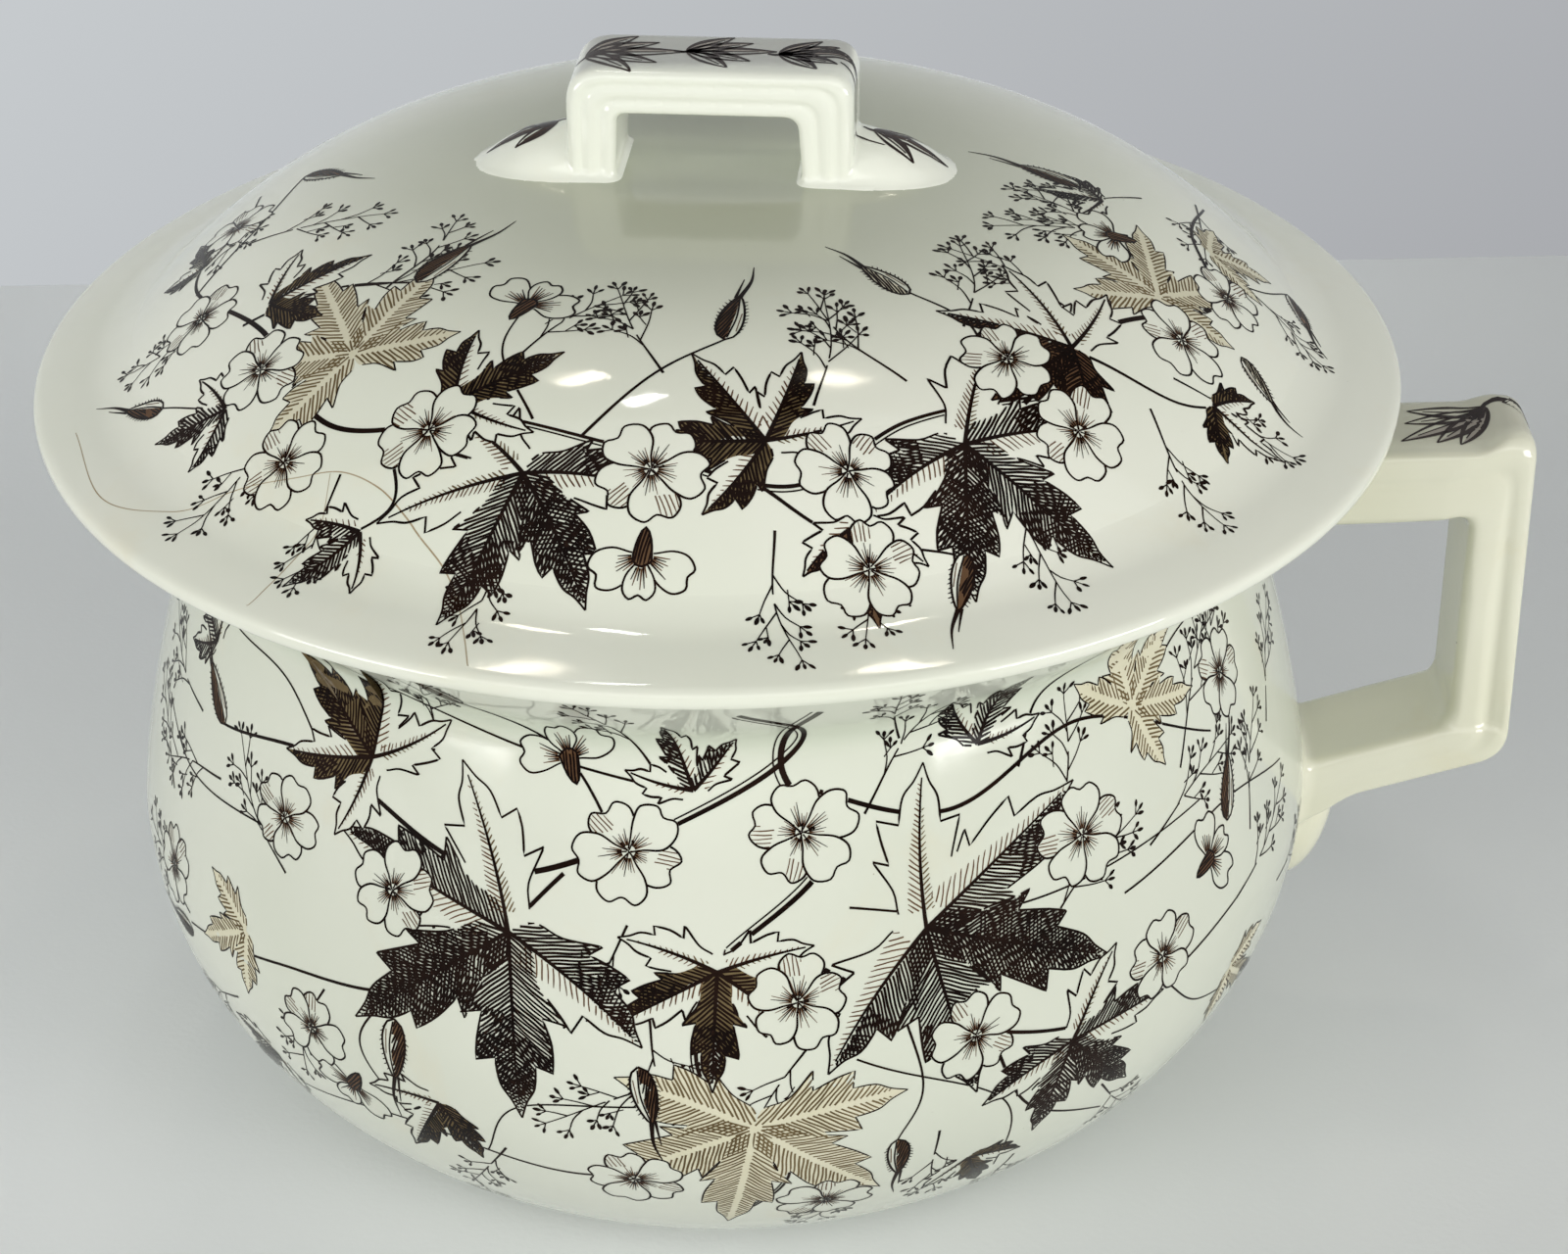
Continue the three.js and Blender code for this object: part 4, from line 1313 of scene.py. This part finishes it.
POT_DRAWINGS = [
    (sprig, (-62, 50, 70, 28), (-56, 58, 110, 26), (-60, 90, 80, 26), (-44, 66, 40, 26),
     (-52, 100, 130, 24), (-38, 84, 160, 26), (-40, 30, 20, 24), (-28, 34, -10, 22), (-16, 66, 60, 24),
     (-20, 108, 150, 22), (-6, 30, 30, 22), (-4, 86, 120, 26), (14, 40, -40, 26), (18, 28, 10, 18),
     (20, 104, 190, 24), (13, 116, 160, 22), (30, 70, -60, 28), (44, 62, -76, 30), (50, 52, -40, 30),
     (58, 50, -20, 28), (56, 84, -66, 28), (60, 74, -30, 24), (38, 108, 220, 24), (66, 92, -90, 24),
     (-66, 70, 60, 24), (68, 60, -50, 24), (-26, 124, 170, 18), (30, 122, 190, 18), (-6, 74, 200, 22),
     (8, 80, 150, 20), (-8, 58, 150, 20), (34, 50, -10, 22)),
    (leaf, (3, 97, 172, 54, FIVE_TAN), (0, 66, 176, 34, "open half dark flip open", "tan"),
     (-49, 82, 120, 28, THREE_TAN), (45, 36, -50, 30, FIVE_TAN),
     (-26, 100, 150, 30, "dark half open", "tan"), (-62, 36, 60, 26, "half dark open"),
     (56, 100, -130, 26, THREE_TAN), (19, 62, -112, 60, "open flip deep dark half"),
     (-19, 62, 128, 60, "half dark deep flip open"), (-35, 38, 52, 36, "open half dark half open", "tan"),
     (33, 92, -140, 38, "open half deep dark flip"), (26, 32, -28, 26, "half dark open"),
     (-2, 34, 20, 24, "open half half"), (-48, 110, 130, 26, "open dark half"),
     (24, 116, 200, 24, "half dark open", "tan")),
    (bud, (-57, 48, 50, 22), (-24, 20, 30, 20), (62, 26, -40, 22), (44, 18, -24, 18), (-30, 84, 176, 24),
     (60, 106, -120, 20), (-60, 94, 100, 20), (16, 104, 186, 20), (56, 68, -20, 22)),
    (side_flower, (-14, 30, 20, 9), (52, 72, -70, 9), (-36, 104, 150, 9)),
    (flower, (8, 42, 0, 9.6), (-8, 45, 0, 9.6, 0.95, 0.4), (7, 72, 0, 9.2, 0.95, 1.2)),
    (bud, (-7, 84, 190, 22)),
    (flower, (-31, 60, 0, 9, 0.9, 1.0), (-45, 56, 0, 8.8, 0.9, 0.2), (36, 54, 0, 9.4),
     (23, 84, 0, 9, 0.95, 0.9), (44, 84, 0, 9, 0.9, 0.5), (-8, 112, 0, 9, 0.95, 0.0),
     (10, 122, 0, 9.2, 0.9, 0.0), (-40, 94, 0, 8.8, 0.9, 1.3), (60, 42, 0, 8.6, 0.88, 1.5),
     (-64, 84, 0, 8.6, 0.88, 1.5))]

COVER_BACK_STEMS = [
    ([0.5, 1.0, 0.5], (-52, 100), (-26, 108), (0, 100), (26, 108), (50, 102))]

COVER_BACK_DRAWINGS = [
    (sprig, (-50, 100, 96, 26), (-32, 106, 20, 18), (12, 104, 160, 20), (50, 102, -80, 24)),
    (leaf, (-24, 107, 150, 30, "half dark open", "tan"), (22, 106, 220, 32, "open half dark half open")),
    (bud, (0, 101, 150, 18)),
    (flower, (-12, 104, 0, 9, 0.9, 0.3), (34, 107, 0, 9), (-38, 105, 0, 9), (8, 102, 0, 9, 0.92, 0.8))]

CRACKS = [
    ([0.16, 0.24, 0.2, 0.3, 0.22], (-121, -41), (-112, -66), (-98, -75), (-86, -75.5), (-73, -79),
     (-64, -81.5), (-57, -87), (-52.5, -93.5), (-50, -98), (-46, -104.5), (-43.5, -111), (-42, -118),
     (-41, -124), (-40.5, -129)),
    ([0.14, 0.22, 0.16], (-66, -81), (-68, -89), (-70, -92), (-74, -96), (-77.5, -101), (-81, -105),
     (-86, -106.5))]


def inks(*rows):
    """Each tone word's ink and its height above the skin in mm, from its dark and light colour."""
    return {tone: (ink(name, dark, light), lift) for tone, name, dark, light, lift in rows}


PRINT = inks(("wash", "wash_ink", (206, 202, 176), (214, 211, 190), 0.025),
             ("brown", "brown_ink", (84, 59, 41), (114, 90, 66), 0.035),
             ("tan", "tan_ink", (88, 74, 50), (124, 109, 79), 0.045),
             ("dark", "dark_ink", (12, 5, 3), (40, 24, 16), 0.06))
CRACK = inks(("crack", "crack_line", (158, 140, 108), (196, 190, 168), 0.02))
PAINT = inks(("wash", "handle_wash", (150, 142, 134), (176, 170, 160), 0.03),
             ("brown", "handle_brown", (70, 50, 42), (96, 74, 62), 0.04),
             ("dark", "handle_paint", (42, 33, 32), (70, 59, 56), 0.06))


def cover_print(name, turned, stems, drawings, seed):
    field = Field(name, on_cover(turned), "cover")
    compose(field, on_ring, stems, drawings, seed)
    field.make(PRINT)


def cover_cracks():
    field = Field("cover_cracks", on_cover(0), "cover")
    for width, *points in CRACKS:
        field.stem(points, width, "crack")
    field.make(CRACK)


def pot_print(name, front, seed):
    field = Field(name, on_pot(front), "pot", pot_local)
    compose(field, on_belly, POT_STEMS, POT_DRAWINGS, seed)
    field.make(PRINT)


cover_print("cover_print", 0, COVER_STEMS, COVER_DRAWINGS, 100)
cover_cracks()
cover_print("cover_back_print", 180, COVER_BACK_STEMS, COVER_BACK_DRAWINGS, 500)
pot_print("pot_print", -90, 700)
pot_print("pot_back_print", 90, 900)

# Brush work on the handles: how far outside a skin, or above the seat, its rays start
ABOVE_SKIN = 14.0
ABOVE_COVER = 80.0


def on_skin(piece, starts, directions):
    """Where straight lines meet a handle's skin, and the skin's normals there."""
    points = mesh_points(piece.data)
    tree = BVHTree.FromPolygons(points.tolist(), [tuple(face.vertices) for face in piece.data.polygons])
    places, normals = [], []
    for start, direction in zip(map(Vector, starts.tolist()), map(Vector, directions.tolist())):
        at, normal, *_ = tree.ray_cast(start, direction)
        if at is None:
            at, normal, *_ = tree.find_nearest(start + direction * ABOVE_SKIN)
        places.append(tuple(at))
        normals.append(tuple(-normal if normal.dot(direction) > 0 else normal))
    return np.array(places), np.array(normals)


def along_route(piece, route, turned=lambda points: points):
    """Places for a field whose x runs along a handle's outer route and y across it."""
    def place(points):
        rows = (*route.T, *headings(route).T)
        x, z, run_x, run_z = (np.interp(points[:, 0], run_of(route), row) for row in rows)
        outward = np.stack([-run_z, np.zeros(len(x)), run_x], 1)
        starts = np.stack([x, points[:, 1], z], 1) + outward * ABOVE_SKIN
        return on_skin(piece, turned(starts), turned(starts - outward) - turned(starts))
    return place


def from_above(piece, turned):
    """Places for a field seen from above a handle."""
    def place(points):
        starts = turned(np.concatenate([points, np.full((len(points), 1), ABOVE_COVER)], 1))
        return on_skin(piece, starts, np.tile([0.0, 0.0, -1.0], (len(starts), 1)))
    return place


def brush_leaf(length, wide, lean, seed, fill):
    """One leaf along +Y in quick brush strokes: two edges, a rib and, if fill names an
    ink, a fill on one side."""
    rng = random.Random(seed)
    made = Drawing()
    t = np.linspace(0, 1, 16)
    sway = lean * length * t ** 2
    width = wide / 2 * np.sin(t ** 0.8 * math.pi) ** 0.9
    left, rib, right = (np.stack([sway + x, t * length], 1) for x in (-width, 0 * t, width * 0.9))
    made.stroke(left, [0.4, 1.2 + 0.5 * rng.random(), 0.4])
    made.stroke(right, [0.35, 0.75 + 0.3 * rng.random(), 0.35])
    made.stroke(rib[:13], [0.7, 0.3])
    if fill:
        made.fills.append((np.concatenate([left, rib[::-1]]), fill))
    return made


def brush_spray(field, at, turn, size, seed, fan, fill="wash"):
    """A fan of brush leaves on a short stalk, pointing the way that turn gives. Every
    other leaf is filled."""
    stalk = Drawing()
    stalk.line([(0, -0.14 * size), (0.03 * size, -0.05 * size), (0, 0.06 * size)], [0.6, 1.3])
    field.put(stalk, at, turn)
    for count, degrees in enumerate(fan):
        length = size * (1.0 if degrees == 0 else 0.86 - 0.0045 * abs(degrees))
        open_leaf = count % 2 == 1
        lean = 0.0016 * degrees * (1 if open_leaf else -1)
        one = brush_leaf(length, size * 0.2, lean, seed + count, "" if open_leaf else fill)
        field.put(one, at, turn - degrees)


def side_handle_paint():
    field = Field("side_handle_paint", along_route(pot_handle, side_handle_routes()[1]), "pot")
    brush_spray(field, (54.4, 5.4), 122, 20.5, 31, (0, 17, -17, 34, -34))
    brush_spray(field, (31, 2), 104, 14, 37, (0, 26, -26))
    crest = Drawing()
    crest.line([(54, 5.4), (56.5, 6.6), (59.3, 5.8), (62, 3.2), (64.2, 0.2), (65.8, -2.6)],
               [0.8, 1.9, 2.3, 1.9, 1.3, 0.5])
    crest.line([(60.5, 6.8), (62.6, 5), (64.4, 3)], [0.4, 0.8, 0.3])
    field.put(crest, (0, 0))
    field.make(PAINT)


def bridge_paint():
    field = Field("bridge_paint", along_route(cover_handle, bridge_routes()[1], turned_with_cover), "cover")
    for at, turn, size, seed in (
            ((30.5, -0.8), -86, 18, 41), ((48.5, 0.8), -88, 16, 47), ((65, 0.4), -88, 14.5, 53)):
        brush_spray(field, at, turn, size, seed, (0, 20, -21, 42, -44))
    tail = Drawing()
    tail.line([(72, 4), (77, 2), (82, -1), (87, -3), (92, -3.4)], [0.6, 1.6, 1.4, 0.9, 0.3])
    tail.line([(76, -2), (82, -4.5), (89, -5.5)], [0.5, 1.0, 0.3])
    field.put(tail, (0, 0))
    field.make(PAINT)


def end_paint():
    field = Field("end_paint", from_above(cover_handle, turned_with_cover), "cover")
    brush_spray(field, (28.5, 1.0), -98, 13.5, 61, (0, 30, -34), "brown")
    brush_spray(field, (-28.5, 1.5), 100, 13, 67, (0, 30, -34), "brown")
    field.make(PAINT)


side_handle_paint()
bridge_paint()
end_paint()


for made, body, node, slot in (
        (pot_body, "pot", "pot_body", "pot_glaze"), (pot_handle, "pot", "pot_handle", "pot_handle_glaze"),
        (cover, "cover", "cover", "cover_glaze"),
        (cover_handle, "cover", "cover_handle", "cover_handle_glaze")):
    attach(made, body)
    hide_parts(node)


# Camera: where the photograph was taken from, with its centre on the cover's seat
LENS_PIXELS = 3600
DISTANCE = 654.7
ELEVATION = math.radians(30.29)
ROLL = math.radians(-0.48)
CENTRE_PIXEL = (733.6, 368.6)
IMAGE = (1600, 1280)


def camera():
    back = Vector((0, -math.cos(ELEVATION), math.sin(ELEVATION)))
    side = Vector((1, 0, 0))
    top = back.cross(side)
    right = side * math.cos(ROLL) + top * math.sin(ROLL)
    up = top * math.cos(ROLL) - side * math.sin(ROLL)
    scale = DISTANCE / LENS_PIXELS
    place = Vector((AXIS_X, 0, SEAT_HEIGHT)) + back * DISTANCE
    place -= right * ((CENTRE_PIXEL[0] - IMAGE[0] / 2) * scale)
    place += up * ((CENTRE_PIXEL[1] - IMAGE[1] / 2) * scale)
    data = bpy.data.cameras.new("camera")
    data.sensor_width = 36
    data.lens = LENS_PIXELS * data.sensor_width / IMAGE[0]
    data.clip_start = 0.01
    data.clip_end = 20
    made = linked("camera", data)
    rows = [[right[i], up[i], back[i], place[i] * MM] for i in range(3)]
    made.matrix_world = Matrix([*rows, [0, 0, 0, 1]])
    bpy.context.scene.camera = made


# Stage, in metres: a floor whose far edge runs a little askew, and a card that stands on that edge
FLOOR_NEAR = -3.0
FLOOR_FAR = 0.36
FLOOR_WIDE = 3.0
FLOOR_TILT = 0.027
CARD_TALL = 3.0
DAYLIGHT = (1, 0.99, 0.965)
LAMPLIGHT = (1, 0.9, 0.74)
WIDE_OPEN = 180
# Name, place, what it points at, size, power, colour and degrees of spread
LAMPS = [
    ("front_window", (-0.1, -1.52, 1.28), (0, 0, 0.08), (4.6, 0.8), 23.2, DAYLIGHT, WIDE_OPEN),
    ("right_window", (1.1, -0.8, 0.32), (0, 0, 0.1), (0.7, 0.4), 2.75, DAYLIGHT, 90),
    ("left_window", (-1.1, -0.8, 0.32), (0, 0, 0.1), (0.7, 0.4), 2.1, DAYLIGHT, 90),
    ("left_lamp", (-0.226, 0.256, 1.0), (0, 0, 0.15), (0.09, 0.04), 0.25, LAMPLIGHT, WIDE_OPEN),
    ("right_lamp", (0.16, 0.235, 1.0), (0, 0, 0.15), (0.09, 0.04), 0.25, LAMPLIGHT, WIDE_OPEN),
    ("middle_lamp", (-0.137, 0.137, 1.0), (0, 0, 0.15), (0.08, 0.03), 0.2, DAYLIGHT, WIDE_OPEN)]


def stage_material(name, colour, dim):
    """Paper with a faint grain and painted shade that darkens it towards its right side; dim is how bright
    its right side is beside its left.
    """
    paint = Paint(name)
    across = paint.math("ADD", paint.along("X"), paint.math("MULTIPLY", paint.noise(3, 4), 0.2))
    shade = [c * dim for c in linear(*colour)[:3]] + [1]
    tone = paint.mix(paint.span(across, 0.0, 0.62), linear(*colour), shade)
    grain = paint.add("ShaderNodeBump", {"Strength": 0.1, "Distance": 0.0005, "Height": paint.noise(700, 3)})
    paint.coat({"Base Color": tone, "Roughness": PAPER_ROUGHNESS, "Specular IOR Level": PAPER_SHINE,
                "Normal": grain.outputs["Normal"]})
    return paint.material


def sheet_of(name, corners, material):
    mesh = bpy.data.meshes.new(name)
    mesh.from_pydata(corners, [], [(0, 1, 2, 3)])
    mesh.materials.append(material)
    made = linked(name, mesh)
    return made


def lamp(name, place, aim, size, power, colour, spread_degrees):
    data = bpy.data.lights.new(name, "AREA")
    data.shape = "RECTANGLE"
    data.size, data.size_y = size
    data.energy = power
    data.color = colour
    data.spread = math.radians(spread_degrees)
    made = linked(name, data)
    made.location = place
    made.rotation_mode = "QUATERNION"
    made.rotation_quaternion = (Vector(aim) - Vector(place)).to_track_quat("-Z", "Y")


def backdrop():
    """A dim sky for the light and, for the camera and mirror rays, a pale wall behind the floor, with painted
    shade that darkens it towards the right and downwards.
    """
    world = bpy.data.worlds.new("studio")
    world.use_nodes = True
    nodes = Nodes(world.node_tree)
    sky = nodes.tree.nodes["Background"]
    nodes.set(sky.inputs["Color"], (0.93, 0.96, 1.0, 1))
    nodes.set(sky.inputs["Strength"], 0.08)
    direction = nodes.add("ShaderNodeTexCoord").outputs["Generated"]
    way = nodes.add("ShaderNodeSeparateXYZ", {0: direction}).outputs
    # Painted shade: the wall grows darker towards the right and downwards.
    slope = nodes.math("ADD", nodes.math("MULTIPLY", way["Z"], -1.2), way["X"])
    tone = nodes.add("ShaderNodeMapRange", {"Value": slope, "From Min": 0.2, "From Max": 0.7})
    colour = nodes.mix(tone.outputs[0], linear(198, 202, 205), linear(170, 172, 176))
    pale = nodes.add("ShaderNodeBackground", {"Color": colour})
    rays = nodes.add("ShaderNodeLightPath").outputs
    seen = rays["Is Camera Ray"]
    for more in ("Is Glossy Ray", "Is Transmission Ray"):
        seen = nodes.math("MAXIMUM", seen, rays[more])
    both = nodes.add("ShaderNodeMixShader", {0: seen, 1: sky.outputs[0], 2: pale.outputs[0]})
    nodes.set(nodes.tree.nodes["World Output"].inputs["Surface"], both.outputs[0])
    bpy.context.scene.world = world


def stage():
    """The floor, the card that the glaze mirrors but the camera doesn't see, and the lamps."""
    left, right = FLOOR_FAR - FLOOR_WIDE * FLOOR_TILT, FLOOR_FAR + FLOOR_WIDE * FLOOR_TILT
    near_edge = [(-FLOOR_WIDE, FLOOR_NEAR, 0), (FLOOR_WIDE, FLOOR_NEAR, 0)]
    far_edge = [(-FLOOR_WIDE, left, 0), (FLOOR_WIDE, right, 0)]
    top_edge = [(x, y, CARD_TALL) for x, y, z in far_edge]
    # Floor and card both carry painted shade, darker towards the right.
    sheet_of("floor", near_edge + far_edge[::-1], stage_material("floor_paper", (229, 232, 233), 0.9))
    wall_paper = stage_material("wall_paper", (210, 214, 218), 0.66)
    card = sheet_of("reflector", far_edge + top_edge[::-1], wall_paper)
    card.visible_camera = False
    for settings in LAMPS:
        lamp(*settings)


camera()
backdrop()
stage()
bpy.context.scene.view_settings.view_transform = "Standard"
